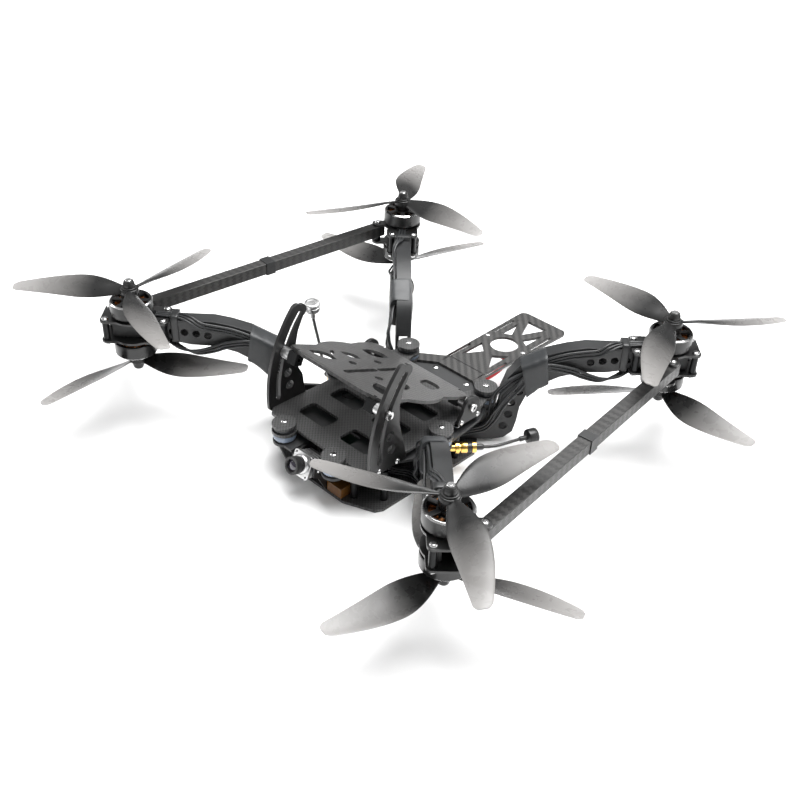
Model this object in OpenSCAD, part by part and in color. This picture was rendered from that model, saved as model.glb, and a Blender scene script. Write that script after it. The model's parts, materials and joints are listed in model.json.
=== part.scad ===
// Eight-rotor quadcopter with four arms, coaxial motors and a damped camera deck.
// Origin: centre of the belly's rest face. +Z up, -Y is the front, +X is the drone's left.

/* [Airframe] */
// Distance between the two front rotor axes
front_span = 330; // [310:1:400]
// Distance between the two rear rotor axes
rear_span = 284; // [268:1:345]
// Distance from the front rotor axes back to the rear ones
pod_pitch = 271; // [255:1:330]
// Thickness of the bottom, mid, tail and deck plates
plate_t = 2.5; // [2:0.1:3]
// Clear height of the bay between the bottom plate and the mid plate
bay_h = 26.8; // [25:0.1:33]
// Half width of the bottom plate
belly_half_w = 57; // [54:0.5:60]

/* [Arms] */
// Width over an arm's two side plates
arm_w = 12.6; // [11.6:0.1:14]
// Thickness of an arm's side plate
arm_plate_t = 2.5; // [2:0.1:3]
// Height of an arm where it carries the motors
arm_h = 15; // [13:0.1:18]
// Height of the top of the arms at the motors
arm_top_z = 89.5; // [86:0.1:98]
// Thickness of the cover strip along the top of an arm
cover_t = 1.2; // [0.8:0.1:1.5]
// Side of the square brace tube between a front and a rear arm
brace_w = 10; // [8:0.1:12]
// Wall of the brace tube
brace_wall = 1.2; // [0.8:0.1:2]

/* [Motors] */
// Outer diameter of a motor bell
bell_d = 32.8; // [30:0.1:36]
// Height of a motor bell
bell_h = 11; // [10:0.1:13.5]
// Diameter of a motor shaft
shaft_d = 5; // [4:0.1:5.4]
// Radial running clearance of a shaft in its bearings
shaft_gap = 0.05; // [0.02:0.01:0.1]
// Thickness of a motor plate
motor_plate_t = 2; // [1.5:0.1:3]

/* [Propellers] */
// Diameter that the blade tips sweep
prop_d = 178; // [150:1:190]
// Diameter of a propeller's hub
prop_hub_d = 14; // [13:0.1:16]
// Height of a propeller's hub
prop_hub_h = 7.2; // [6.5:0.1:9]

/* [Damped deck] */
// Half width of the deck at its side fins
deck_half_w = 53.5; // [50:0.5:55]
// Diameter of a damper washer
washer_d = 18.6; // [16:0.1:19]
// Height of a lower damper ring
ring_low_h = 5; // [4:0.1:7]
// Height of an upper damper ring
ring_up_h = 3.5; // [3:0.1:5]
// Thickness of a fin or a pivot bracket
fin_t = 3; // [2:0.1:4]

/* [Tilt plate] */
// Distance from the pivot to the slot screws
slot_r = 97.5; // [94:0.1:99]
// Tilt of the plate at rest, front end up
tilt_rest = 21.9; // [10:0.1:30]
// Half width of the tilt plate at its front corners
tilt_half_w = 50.5; // [48:0.1:51]

/* [Hidden] */
PODS = ["front_left", "front_right", "rear_left", "rear_right"];
LEVELS = ["upper", "lower"];
ROTORS = [for (p = PODS) for (l = LEVELS) str(p, "_", l)];
BELLS = [for (r = ROTORS) str(r, "_bell")];
PROPS = [for (r = ROTORS) str(r, "_propeller")];
$fn = 48;
eps = 0.01;

// Levels, from the belly up
bay_top = plate_t + bay_h;
mid_top = bay_top + plate_t;
tail_top = mid_top + plate_t;
seat_t = 1.2;
deck_z = mid_top + seat_t + ring_low_h;
deck_top = deck_z + plate_t;
washer_t = 2.5;
washer_z = deck_top + ring_up_h;
bolt_head_h = 1.7;
pod_mid_z = arm_top_z - arm_h / 2;
motor_z = arm_top_z + motor_plate_t;

// Plan places of the rotor axes and of the arm roots, for the drone's left side
front_y = -pod_pitch / 2;
rear_y = pod_pitch / 2;
function pod_xy(rear) = rear ? [rear_span / 2, rear_y] : [front_span / 2, front_y];
function root_xy(rear) = rear ? [16, 14] : [39, -14];
function arm_vec(rear) = pod_xy(rear) - root_xy(rear);
function arm_len(rear) = norm(arm_vec(rear));
function arm_dir(rear) = arm_vec(rear) / arm_len(rear);
function arm_angle(rear) = atan(abs(arm_vec(rear)[1]) / arm_vec(rear)[0]);

// An arm's own frame: x outward from the rotor axis, y towards the brace, z up
function brace_side(rear) = let (d = arm_dir(rear)) rear ? [d[1], -d[0]] : [-d[1], d[0]];
function to_world(rear, p) = let (xy = pod_xy(rear) + p[0] * arm_dir(rear) + p[1] * brace_side(rear))
    [xy[0], xy[1], p[2]];

module mirror_if(on, axis) {
    if (on) mirror(axis) children();
    else children();
}
module both_sides() {
    children();
    mirror([1, 0, 0]) children();
}
module at_pod(right, rear) {
    mirror_if(right, [1, 0, 0])
        translate([pod_xy(rear)[0], pod_xy(rear)[1], 0])
            mirror_if(rear, [0, 1, 0]) rotate([0, 0, -arm_angle(rear)]) children();
}
module at_every_pod() {
    for (right = [false, true], rear = [false, true]) at_pod(right, rear) children();
}
module lower_too() {
    children();
    translate([0, 0, 2 * pod_mid_z]) mirror([0, 0, 1]) children();
}

// Plane shapes
module rounded_rect(w, h, r) {
    square([w - 2 * r, h], center = true);
    square([w, h - 2 * r], center = true);
    for (x = [-1, 1], y = [-1, 1]) translate([x * (w / 2 - r), y * (h / 2 - r)]) circle(r);
}
module bar(p, q, w) {
    a = atan2(q[1] - p[1], q[0] - p[0]);
    translate(p) rotate(a) translate([0, -w / 2]) square([norm(q - p), w]);
    translate(p) circle(w / 2);
    translate(q) circle(w / 2);
}
// Points of an arc from p to q that bulges to the left by b
function bow(p, q, b, n = 10) = let (d = (q - p) / norm(q - p), k = [-d[1], d[0]])
    [for (i = [0 : n]) let (t = i / n) p + (q - p) * t + k * b * 4 * t * (1 - t)];
module moon(p, q, b1, b2) {
    back = bow(p, q, b2);
    polygon(concat(bow(p, q, b1), [for (i = [len(back) - 2 : -1 : 1]) back[i]]));
}
// A closed outline from the points of its right half
function whole(half) = concat(half, [for (i = [len(half) - 1 : -1 : 0]) [-half[i][0], half[i][1]]]);
module disc(r, z0, z1) {
    translate([0, 0, z0]) cylinder(r = r, h = z1 - z0);
}
module tube(r_out, r_in, z0, z1) {
    translate([0, 0, z0]) difference() {
        cylinder(r = r_out, h = z1 - z0);
        translate([0, 0, -1]) cylinder(r = r_in, h = z1 - z0 + 2);
    }
}
module plate(z0, t = plate_t) {
    translate([0, 0, z0]) linear_extrude(t) children();
}
// A socket-head screw along +Z whose head sits on z = 0
module screw(d, len, head_d, head_h, hex = 0) {
    translate([0, 0, -len]) cylinder(d = d, h = len);
    difference() {
        cylinder(d = head_d, h = head_h);
        if (hex > 0) translate([0, 0, head_h * 0.4]) cylinder(d = hex, h = head_h, $fn = 6);
    }
}

// Swept round tubes along hand-set points
function unit(v) = v / norm(v);
function spline(p, per) = let (n = len(p)) concat([for (i = [0 : n - 2], s = [0 : per - 1])
    let (t = s / per, a = p[max(i - 1, 0)], b = p[i], c = p[i + 1], d = p[min(i + 2, n - 1)])
    0.5 * (2 * b + (c - a) * t + (2 * a - 5 * b + 4 * c - d) * t * t + (3 * b - a - 3 * c + d) * t * t * t)],
    [p[n - 1]]);
module sweep(p, r, sides = 7, up = [0, 0, 1]) {
    n = len(p);
    rings = [for (i = [0 : n - 1]) let (t = unit(p[min(i + 1, n - 1)] - p[max(i - 1, 0)]),
        ref = abs(t * up) > 0.95 ? [0.3, 1, 0.1] : up, e = unit(cross(t, ref)), f = cross(e, t))
        for (k = [0 : sides - 1]) p[i] + r * (cos(360 * k / sides) * e + sin(360 * k / sides) * f)];
    sides_of = [for (i = [0 : n - 2], k = [0 : sides - 1]) let (m = (k + 1) % sides)
        [i * sides + k, i * sides + m, (i + 1) * sides + m, (i + 1) * sides + k]];
    ends = [[for (k = [sides - 1 : -1 : 0]) k], [for (k = [0 : sides - 1]) (n - 1) * sides + k]];
    polyhedron(rings, concat(sides_of, ends));
}

// ---------- Frame plates ----------
front_damper = [27, -101.8];
mid_damper = [56.3, -21.1];
rear_damper = [42.4, 45.1];
DAMPERS = [front_damper, mid_damper, rear_damper];
ear_r = 9;
bolt_r = 1.5;
press_nut_r = 2.8;
thread_gap = 0.02;
screw_gap = 0.1;
ring_bore_r = 1.6;
deck_hole_r = 4.5;
nose_y = -96;
body_rear_y = 57;
fpv_half_w = 10.3;
fpv_wall_t = 2;
notch_half_w = fpv_half_w + fpv_wall_t;
standoff_r = 3;
STANDOFFS = [[32, -86], [49, -72], [50, 4], [17, 52]];
screw_r = 1.5;

module both_standoffs() {
    for (p = STANDOFFS) both_sides() translate(p) children();
}
module belly_outline() {
    h = belly_half_w;
    polygon(whole([[30, nose_y], [h - 3, -86], [h, -80], [h, 20], [44, 38], [38, body_rear_y]]));
}
module bottom_plate() {
    color("#1d1e20") plate(0) difference() {
        belly_outline();
        for (y = [19, 42]) translate([0, y]) rounded_rect(16, 14, 4);
        both_standoffs() circle(screw_r);
        stack_corners() circle(screw_r);
    }
}
module mid_half() {
    w = 60;
    polygon([[0, -108], [32, -108], [44, -90], [47, -66], [w, -40], [w + 1, -20], [w - 2, 4], [56, 24],
        [50, 38], [38, body_rear_y - 4], [30, body_rear_y], [18, body_rear_y + 4], [18, body_rear_y + 14],
        [0, body_rear_y + 14]]);
    for (p = DAMPERS) translate(p) circle(ear_r);
}
module mid_plate() {
    color("#2b2d30") plate(bay_top) difference() {
        both_sides() mid_half();
        translate([-notch_half_w, -112]) square([2 * notch_half_w, 30]);
        both_standoffs() circle(screw_r);
        for (p = DAMPERS) both_sides() translate(p) circle(press_nut_r + thread_gap);
        for (y = [-68, -40]) translate([0, y]) rounded_rect(24, 16, 3);
        both_sides() translate([36, -26]) rounded_rect(10, 14, 3);
    }
}
tail_end_y = 175;
tail_half_w = 24.5;
tail_corner_r = 6;
tail_neck = [21.6, 69];
tail_ring = [0, 119];
tail_ring_r = 12;
tail_stud = [19.6, 120];
tail_slot_x = 20.2;
TAIL_SLOTS = [[71, 97], [129, 155]];
tail_slot_w = 2.4;
module tail_half() {
    c = tail_corner_r;
    polygon([[0, body_rear_y], [19, body_rear_y], [34, 46], rear_damper + [0, ear_r - 1],
        tail_neck, [tail_half_w, tail_end_y - c], [tail_half_w - c, tail_end_y], [0, tail_end_y]]);
    translate(rear_damper) circle(ear_r);
    translate([tail_half_w - c, tail_end_y - c]) circle(c);
}
module tail_plate() {
    color("#33353a") plate(mid_top) difference() {
        both_sides() tail_half();
        translate(tail_ring) circle(tail_ring_r);
        both_sides() {
            translate(rear_damper) circle(bolt_r);
            translate(tail_stud) circle(screw_r);
            for (s = TAIL_SLOTS) bar([tail_slot_x, s[0]], [tail_slot_x, s[1]], tail_slot_w);
            polygon([[15, 81], [15, 107], [4.5, 98]]);
            polygon([[14, 131], [14, 153.5], [5.8, 136]]);
        }
        polygon([[0, 142], [-10.2, 164.5], [10.2, 164.5]]);
    }
}
module frame_standoffs() {
    color("#3a3c40") both_standoffs() tube(standoff_r, screw_r, plate_t, bay_top);
    color("#b9bcc0") stack_posts();
}
frame_head_h = 1.2;
module frame_screws() {
    color("#c9ccd0") {
        both_standoffs() translate([0, 0, mid_top]) screw(2 * screw_r, 8, 5.4, frame_head_h, 2);
        both_sides() translate([tail_stud[0], tail_stud[1], 0]) {
            translate([0, 0, tail_top]) screw(2 * screw_r, 14, 5, frame_head_h, 2);
            tube(3, screw_r, tail_top - 14, mid_top);
        }
    }
}

// ---------- Dampers ----------
module at_dampers() {
    for (i = [0 : 2]) both_sides() translate([DAMPERS[i][0], DAMPERS[i][1], 0]) {
        $damper = i;
        children();
    }
}
ring_r = 8.6;
module damper_lower_rings() {
    color("#6d7a8c") at_dampers() {
        z0 = $damper == 2 ? tail_top : mid_top + seat_t;
        tube(ring_r, ring_bore_r, z0, deck_z);
    }
}
module damper_upper_rings() {
    color("#3c4048") at_dampers() tube(ring_r - 0.3, ring_bore_r, deck_top, washer_z);
}
module damper_washers() {
    color("#242527") at_dampers() {
        tube(washer_d / 2, bolt_r, washer_z, washer_z + washer_t);
        if ($damper < 2) tube(ring_r - 0.8, bolt_r, mid_top, mid_top + seat_t);
    }
}
// Each bolt ends in a nut that is pressed flush into the mid plate
module damper_bolts() {
    head_z = washer_z + washer_t;
    color("#d6d8da") at_dampers() {
        translate([0, 0, head_z]) screw(2 * bolt_r, head_z - bay_top, 5.2, bolt_head_h, 2.5);
        tube(press_nut_r, bolt_r + thread_gap, bay_top, mid_top);
    }
}

// ---------- Damped deck ----------
pivot_y = 12.5;
pivot_z = deck_top + 8.5;
CUTS = [[-71.5, 17], [-40, 16], [-10.8, 16.5]];
cut_x = 23;
cut_w = 30;
bracket_y = [-2, 24];
module deck_half() {
    h = deck_half_w;
    polygon([[0, nose_y], [49, nose_y], [h, nose_y + 5], [h, 27], [50, 38], [34, 44], [30, 31], [0, 31]]);
    for (p = DAMPERS) translate(p) circle(ear_r + 0.5);
}
module deck() {
    color("#292b2e") plate(deck_z) difference() {
        both_sides() deck_half();
        for (p = DAMPERS) both_sides() translate(p) circle(deck_hole_r);
        for (c = CUTS) both_sides() translate([cut_x, c[0]]) rounded_rect(cut_w, c[1], 4);
    }
}
function polar_yz(r, a) = [pivot_y - r * cos(a), pivot_z + r * sin(a)];
slot_a = [-1, 40];
slot_half_w = 2.15;
slot_screw_r = 2;
module arc_slot(r, a, w) {
    outer = [for (i = [0 : 20]) polar_yz(r + w, a[0] + (a[1] - a[0]) * i / 20)];
    inner = [for (i = [20 : -1 : 0]) polar_yz(r - w, a[0] + (a[1] - a[0]) * i / 20)];
    polygon(concat(outer, inner));
    for (e = a) translate(polar_yz(r, e)) circle(w);
}
fin_front_r = 107;
fin_tip_a = 40.5;
fin_tip_r = 5.2;
fin_foot_y = [-92.8, -57.8];
fin_foot_z = deck_z - 1;
module fin_outline() {
    front = [for (i = [0 : 16]) polar_yz(fin_front_r, -5 + (fin_tip_a + 5) * i / 16)];
    polygon(concat([[fin_foot_y[0] + 1.5, fin_foot_z]], front,
        [polar_yz(slot_r - 4.4, fin_tip_a), polar_yz(91, 33), polar_yz(88, 26), polar_yz(82, 16.5),
         [fin_foot_y[1] - 2, deck_top + 8], [fin_foot_y[1], deck_top], [fin_foot_y[1], fin_foot_z]]));
    translate(polar_yz(slot_r, fin_tip_a + 1)) circle(fin_tip_r);
    translate(polar_yz(fin_front_r - fin_tip_r, fin_tip_a)) circle(fin_tip_r);
}
FIN_HOLES = [[-75, 65], [-73.5, 53.5]];
FIN_SCREWS = [-85, -67];
side_screw_r = 1;
// Draws a shape given in (y, z) as a plate that starts at x
module side_plate(x, t) {
    translate([x, 0, 0]) rotate([90, 0, 90]) linear_extrude(t) children();
}
module side_fins() {
    color("#1b1c1e") both_sides() side_plate(deck_half_w, fin_t) difference() {
        fin_outline();
        arc_slot(slot_r, slot_a, slot_half_w);
        for (h = FIN_HOLES) translate([h[0], h[1] - 49 + pivot_z]) circle(3.6);
        for (y = FIN_SCREWS) translate([y, deck_z + plate_t / 2]) circle(side_screw_r + thread_gap);
    }
}
pivot_r = 2;
pivot_gap = 0.05;
bracket_top_r = 9;
BRACKET_SCREWS = [2, 20];
module pivot_brackets() {
    color("#1b1c1e") both_sides() side_plate(deck_half_w, fin_t) difference() {
        union() {
            polygon([[bracket_y[0], fin_foot_z], [bracket_y[1], fin_foot_z], [bracket_y[1], deck_top],
                [pivot_y + bracket_top_r, pivot_z], [pivot_y - bracket_top_r, pivot_z],
                [bracket_y[0], deck_top]]);
            translate([pivot_y, pivot_z]) circle(bracket_top_r);
        }
        translate([pivot_y, pivot_z]) circle(pivot_r + pivot_gap);
        for (y = BRACKET_SCREWS) translate([y, deck_z + plate_t / 2]) circle(side_screw_r + thread_gap);
    }
}
module deck_screws() {
    color("#c9ccd0") both_sides() for (y = concat(FIN_SCREWS, BRACKET_SCREWS))
        translate([deck_half_w + fin_t, y, deck_z + plate_t / 2]) rotate([0, 90, 0])
            screw(2 * side_screw_r, fin_t, 4.4, 1.2, 1.6);
}

// ---------- Tilt plate ----------
tilt_above = 7.3;
tilt_slot_w = 4.8;
tilt_t = 2.5;
// Places children given in (x, distance forward from the pivot, height) at the plate's rest tilt
module tilted() {
    translate([0, pivot_y, pivot_z]) rotate([-tilt_rest, 0, 0]) mirror([0, 1, 0]) children();
}
module tilt_outline() {
    w = tilt_half_w;
    waist = bow([50, 31], [49, 71], -5.5, 8);
    polygon(whole(concat([[38, -2], [48, 1], [52, 5], [52, 20]], waist,
        [[w, 90], [w - 1, 96.5], [w - 5, 98], [30, 101]])));
}
PAYLOAD_HOLES = [[14, 65], [14, 37]];
// Clears a quarter-inch camera screw
payload_hole_r = 3.3;
module tilt_holes() {
    moon([39, 88], [21, 75.5], 8, -5);
    moon([35, 58], [20, 50], 6, -3.2);
    moon([37.5, 30.5], [21, 16.5], 8, -7.5);
    moon([30, 71], [38, 63.5], 2.6, -1.2);
    for (h = PAYLOAD_HOLES) translate(h) circle(payload_hole_r);
}
module tilt_plate() {
    color("#2e3033") tilted() translate([0, 0, tilt_above - tilt_t]) linear_extrude(tilt_t)
        difference() {
            tilt_outline();
            tilt_holes();
            mirror([1, 0]) tilt_holes();
            bar([0, 18], [0, 49], tilt_slot_w);
            bar([0, 55], [0, 86], tilt_slot_w);
            for (u = [0, slot_r]) for (x = [-1, 1]) translate([x * tab_x, u]) circle(1.25);
        }
}
side_gap = 0.3;
tab_x = 41;
tab_w = 9;
tab_end = tab_x + tab_w / 2;
standoff_d = 9;
module tilt_tabs() {
    color("#16171a") both_sides() tilted() for (u = [0, slot_r])
        difference() {
            translate([tab_x - tab_w / 2, u - 4, -4.6]) cube([tab_w, 8, 4.6 + tilt_above - tilt_t]);
            translate([tab_end + 1, u, 0]) rotate([0, -90, 0]) cylinder(r = 1.5, h = tab_w + 2);
        }
}
module tilt_standoffs() {
    color("#c4c6c9") both_sides() tilted() for (u = [0, slot_r])
        translate([tab_end, u, 0]) rotate([0, 90, 0]) difference() {
            cylinder(d = standoff_d, h = deck_half_w - side_gap - tab_end);
            translate([0, 0, -1]) cylinder(r = 1.5, h = 20);
        }
}
module tilt_screws() {
    head_x = deck_half_w + fin_t + side_gap;
    color("#d6d8da") both_sides() tilted() for (u = [0, slot_r]) {
        translate([deck_half_w - side_gap, u, 0]) rotate([0, 90, 0])
            cylinder(r = slot_screw_r, h = fin_t + 2 * side_gap);
        translate([head_x, u, 0]) rotate([0, 90, 0]) screw(3, head_x - tab_x, 7, 2.6, 3);
    }
}

// ---------- Arms ----------
// Side outline of an arm: distance in from the rotor axis, and height
LUGS = [[19, 9.4], [19, -9.4], [-25, 9.4], [-25, -9.4]];
lug_r = 4;
plate_in = lug_r - LUGS[2][0];
plate_gap = 0.4;
arm_tip = -15;
function arm_low(n) = [[arm_tip, arm_top_z - arm_h], [plate_in + plate_gap, arm_top_z - arm_h], [36, 71.2],
    [45, 69.6], [63, 69], [n - 95, 64], [n - 80, 55.5], [n - 71.5, 46.5], [n - 67.3, 34.7], [n - 66, 22],
    [n - 63.6, 10.8], [n - 57, 4.8], [n - 48, plate_t]];
function arm_high(n) = [[arm_tip, arm_top_z], [62, arm_top_z], [n - 100, 87], [n - 85, 82.5],
    [n - 65, 72], [n - 57, 61], [n - 52.5, 46], [n - 51, bay_top + 4], [n - 50, bay_top]];
function arm_outline(n) = concat(arm_low(n), [[n, plate_t], [n, bay_top]],
    let (h = arm_high(n)) [for (i = [len(h) - 1 : -1 : 0]) h[i]]);
ARM_HOLES = [[31, 80.6], [40, 80.3], [49, 79.4], [58, 78]];
function root_holes(n) = [[n - 65.4, 49], [n - 60.2, 38.4], [n - 59, 27.2], [n - 55.5, 16]];
// Draws a shape given in (distance in, height) as a plate in the arm's own frame
module along_arm(y0, t) {
    translate([0, y0, 0]) mirror([1, 0, 0]) translate([0, t, 0]) rotate([90, 0, 0])
        linear_extrude(t) children();
}
module arm(right, rear) {
    n = arm_len(rear);
    color("#202226") at_pod(right, rear)
        for (y = [-arm_w / 2, arm_w / 2 - arm_plate_t]) along_arm(y, arm_plate_t) difference() {
            polygon(arm_outline(n));
            for (h = ARM_HOLES) translate(h) circle(2.9);
            for (h = root_holes(n)) translate(h) circle(3.3);
        }
}
module front_left_arm() { arm(false, false); }
module front_right_arm() { arm(true, false); }
module rear_left_arm() { arm(false, true); }
module rear_right_arm() { arm(true, true); }
cover_start = plate_in + plate_gap;
function cover_line(n) = concat([[cover_start, arm_top_z]], [for (i = [1 : 6]) arm_high(n)[i]]);
module arm_covers() {
    color("#303236") for (right = [false, true], rear = [false, true]) {
        line = cover_line(arm_len(rear));
        at_pod(right, rear) along_arm(-arm_w / 2, arm_w)
            polygon(concat(line, [for (i = [len(line) - 1 : -1 : 0]) moved(line, cover_t)[i]]));
    }
}
spacer_r = 2.4;
function spacer_places(n) = [[-8, pod_mid_z], [23, pod_mid_z], [n - 102, 77], [n - 74, 63],
    [n - 44, 16], [n - 10, 16]];
module arm_spacers() {
    gap = arm_w - 2 * arm_plate_t;
    color("#232427") pod_posts();
    color("#8f9296") for (right = [false, true], rear = [false, true])
        at_pod(right, rear) for (p = spacer_places(arm_len(rear)))
            translate([-p[0], gap / 2, p[1]]) rotate([90, 0, 0]) cylinder(r = spacer_r, h = gap);
}

// ---------- Motor pods ----------
brace_lug = [-1, 22];
brace_lug_r = 5;
lug_span = LUGS[0] - LUGS[3] + 2 * [lug_r, lug_r];
post_r = 2.6;
motor_ring_r = 16.5;
base_screw_r = 8;
module motor_plate() {
    difference() {
        union() {
            circle(motor_ring_r);
            translate((LUGS[0] + LUGS[3]) / 2) rounded_rect(lug_span[0], lug_span[1], lug_r);
            translate(brace_lug) circle(brace_lug_r);
            translate(brace_lug - [brace_lug_r, brace_lug[1]]) square([2 * brace_lug_r, brace_lug[1]]);
        }
        for (l = concat(LUGS, [brace_lug])) translate(l) circle(screw_r);
        for (a = [0 : 90 : 270]) rotate(a + 45) translate([base_screw_r, 0]) circle(1.3);
        circle(4);
    }
}
module motor_plates() {
    color("#1a1b1d") at_every_pod() lower_too() plate(arm_top_z, motor_plate_t) motor_plate();
}
module pod_posts() {
    at_every_pod() {
        for (l = LUGS) translate([l[0], l[1], 0]) tube(post_r, screw_r, arm_top_z - arm_h, arm_top_z);
        translate([brace_lug[0], brace_lug[1], 0])
            tube(post_r, screw_r, arm_top_z - arm_h, arm_top_z - brace_w);
    }
}
module pod_screws() {
    color("#d6d8da") at_every_pod() for (l = concat(LUGS, [brace_lug])) {
        translate([l[0], l[1], motor_z]) screw(2 * screw_r, arm_h + 2 * motor_plate_t, 5.2, 1.8, 2.2);
        translate([l[0], l[1], arm_top_z - arm_h - motor_plate_t - 2]) cylinder(d = 5.6, h = 2, $fn = 6);
    }
}
function lug_world(rear) = to_world(rear, [brace_lug[0], brace_lug[1], 0]);
brace_v = lug_world(true) - lug_world(false);
brace_len = norm(brace_v);
brace_turn = atan2(brace_v[1], brace_v[0]);
brace_over = 4.5;
module on_brace() {
    both_sides() translate([lug_world(false)[0], lug_world(false)[1], arm_top_z - brace_w / 2])
        rotate([0, 0, brace_turn]) children();
}
module square_tube(x0, x1, w, wall) {
    translate([x0, -w / 2, -w / 2]) difference() {
        cube([x1 - x0, w, w]);
        translate([-1, wall, wall]) cube([x1 - x0 + 2, w - 2 * wall, w - 2 * wall]);
    }
}
module arm_braces() {
    color("#2c2d2f") on_brace() difference() {
        square_tube(-brace_over, brace_len + brace_over, brace_w, brace_wall);
        for (x = [0, brace_len]) translate([x, 0, -brace_w])
            cylinder(r = screw_r + screw_gap, h = 2 * brace_w);
    }
}
clip_t = 0.7;
clip_len = 9;
module brace_clips() {
    m = brace_len / 2;
    color("#17181a") on_brace()
        square_tube(m - clip_len / 2, m + clip_len / 2, brace_w + 2 * clip_t, clip_t);
}

// ---------- Motors, drawn for an upper one with its plate's top at z = 0 ----------
base_t = 1.7;
base_r = bell_d / 2 - 2.4;
base_tab = 3.4;
bell_gap = 0.8;
bell_z = base_t + bell_gap;
bell_top = bell_z + bell_h;
bell_top_t = 1.8;
ring_wall = 1.5;
magnet_t = 1.1;
bearing_r = shaft_d / 2 + 2.4;
bearing_h = 2.4;
tube_wall = 1;
tube_top = bell_top - bell_top_t - 0.5;
core_r = bell_d / 2 - ring_wall - magnet_t - 0.4;
core_h = bell_h - bell_top_t - 3.4;
core_z = bell_z + 1.5;
coil_over = 1.1;
hub_r = bearing_r + tube_wall;
yoke_r = hub_r + 1.6;
TEETH = 12;
MAGNETS = 14;
module at_every_motor() {
    at_every_pod() lower_too() translate([0, 0, motor_z]) children();
}
module motor_base() {
    difference() {
        union() {
            difference() {
                disc(base_r, 0, base_t);
                for (a = [0 : 90 : 270]) rotate([0, 0, a]) translate([10.2, 0, -1]) cylinder(r = 1.9, h = 4);
            }
            translate([-base_r - base_tab, -4.5, 0]) cube([base_tab + 2.6, 9, base_t]);
            disc(hub_r, 0, tube_top);
        }
        disc(bearing_r, -1, tube_top + 1);
    }
}
module motor_bases() { color("#26272a") at_every_motor() motor_base(); }
module motor_bearings() {
    color("#b4b7ba") at_every_motor() for (z = [base_t, tube_top - bearing_h])
        tube(bearing_r, shaft_d / 2 + shaft_gap, z, z + bearing_h);
}
module tooth_box(w, r0, r1, h, z) {
    translate([r0, -w / 2, z]) cube([r1 - r0, w, h]);
}
tooth_w = 2.2;
tip_t = 0.9;
module stator_core() {
    tube(yoke_r, hub_r, core_z, core_z + core_h);
    intersection() {
        tube(core_r, core_r - tip_t, core_z, core_z + core_h);
        for (i = [0 : TEETH - 1]) rotate([0, 0, i * 360 / TEETH])
            tooth_box(5.6, core_r - 3, core_r + 1, core_h + 2, core_z - 1);
    }
    for (i = [0 : TEETH - 1]) rotate([0, 0, i * 360 / TEETH])
        tooth_box(tooth_w, yoke_r - 0.3, core_r - tip_t / 2, core_h, core_z);
}
module stator_cores() { color("#4a4038") at_every_motor() stator_core(); }
module winding() {
    difference() {
        tube(core_r - tip_t, yoke_r, core_z - coil_over, core_z + core_h + coil_over);
        for (i = [0 : TEETH - 1]) rotate([0, 0, i * 360 / TEETH]) {
            tooth_box(tooth_w, yoke_r - 1, core_r + 1, core_h, core_z);
            rotate([0, 0, 180 / TEETH]) tooth_box(0.9, yoke_r + 0.8, core_r + 1, core_h + 4, core_z - 2);
        }
    }
}
module windings() { color("#b06a34") at_every_motor() winding(); }
seat_r = 6;
seat_h = 2.2;
hub_z = bell_top + seat_h;
nut_flange_h = 1.2;
nut_flange_r = 5.6;
nut_z = hub_z + prop_hub_h;
nut_body_h = 5.2;
shaft_top = nut_z + nut_flange_h + nut_body_h + 0.6;
SPOKES = 6;
module bell() {
    r = bell_d / 2;
    difference() {
        disc(r, bell_z, bell_top);
        disc(r - ring_wall, bell_z - 1, bell_top - bell_top_t);
        for (i = [0 : SPOKES - 1]) rotate([0, 0, i * 360 / SPOKES]) intersection() {
            tube(r - 2.4, 6.4, bell_top - bell_top_t - 1, bell_top + 1);
            translate([5.5, -4.1, bell_top - 3]) cube([r, 8.2, 4]);
        }
    }
    disc(seat_r, bell_top - bell_top_t, bell_top + seat_h);
    disc(shaft_d / 2, base_t - 0.6, shaft_top);
}
module magnets() {
    r = bell_d / 2 - ring_wall - 0.03;
    for (i = [0 : MAGNETS - 1]) rotate([0, 0, i * 360 / MAGNETS]) intersection() {
        tube(r, r - magnet_t, bell_z + 0.6, bell_z + 0.6 + core_h + 1);
        translate([r - 4, -2.6, 0]) cube([6, 5.2, bell_h]);
    }
}
// The nut is a separate piece that clamps the propeller on the shaft
module prop_nut() {
    difference() {
        union() {
            disc(nut_flange_r, nut_z, nut_z + nut_flange_h);
            disc(4.3, nut_z, nut_z + nut_flange_h + nut_body_h);
        }
        disc(shaft_d / 2 + thread_gap, nut_z - 1, nut_z + 20);
    }
}
module rotor_at(i) {
    right = floor(i / 2) % 2 == 1;
    rear = i >= 4;
    at_pod(right, rear) {
        if (i % 2 == 0) translate([0, 0, motor_z]) children();
        else translate([0, 0, 2 * pod_mid_z - motor_z]) mirror([0, 0, 1]) children();
    }
}
module motor_bell(i) {
    color("#1c1d20") rotor_at(i) bell();
    color("#b9bcc0") rotor_at(i) magnets();
    color("#111214") rotor_at(i) prop_nut();
}

// ---------- Propellers ----------
// Directions of the first blade, counter-clockwise from +X, and the pitch hand of each rotor
BLADE_TURN = [205, 22, 221, 35, 172, 111, 244, 73];
HAND = [1, 1, -1, -1, -1, -1, 1, 1];
blade_r0 = max(prop_hub_d / 2 - 1.2, nut_flange_r + 0.2);
stations = 11;
// Section of a blade, in chords across and thicknesses up
sec = [[-0.5, 0], [-0.32, 0.42], [0, 0.55], [0.3, 0.38], [0.5, 0], [0.3, -0.3], [0, -0.42], [-0.32, -0.34]];
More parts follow.
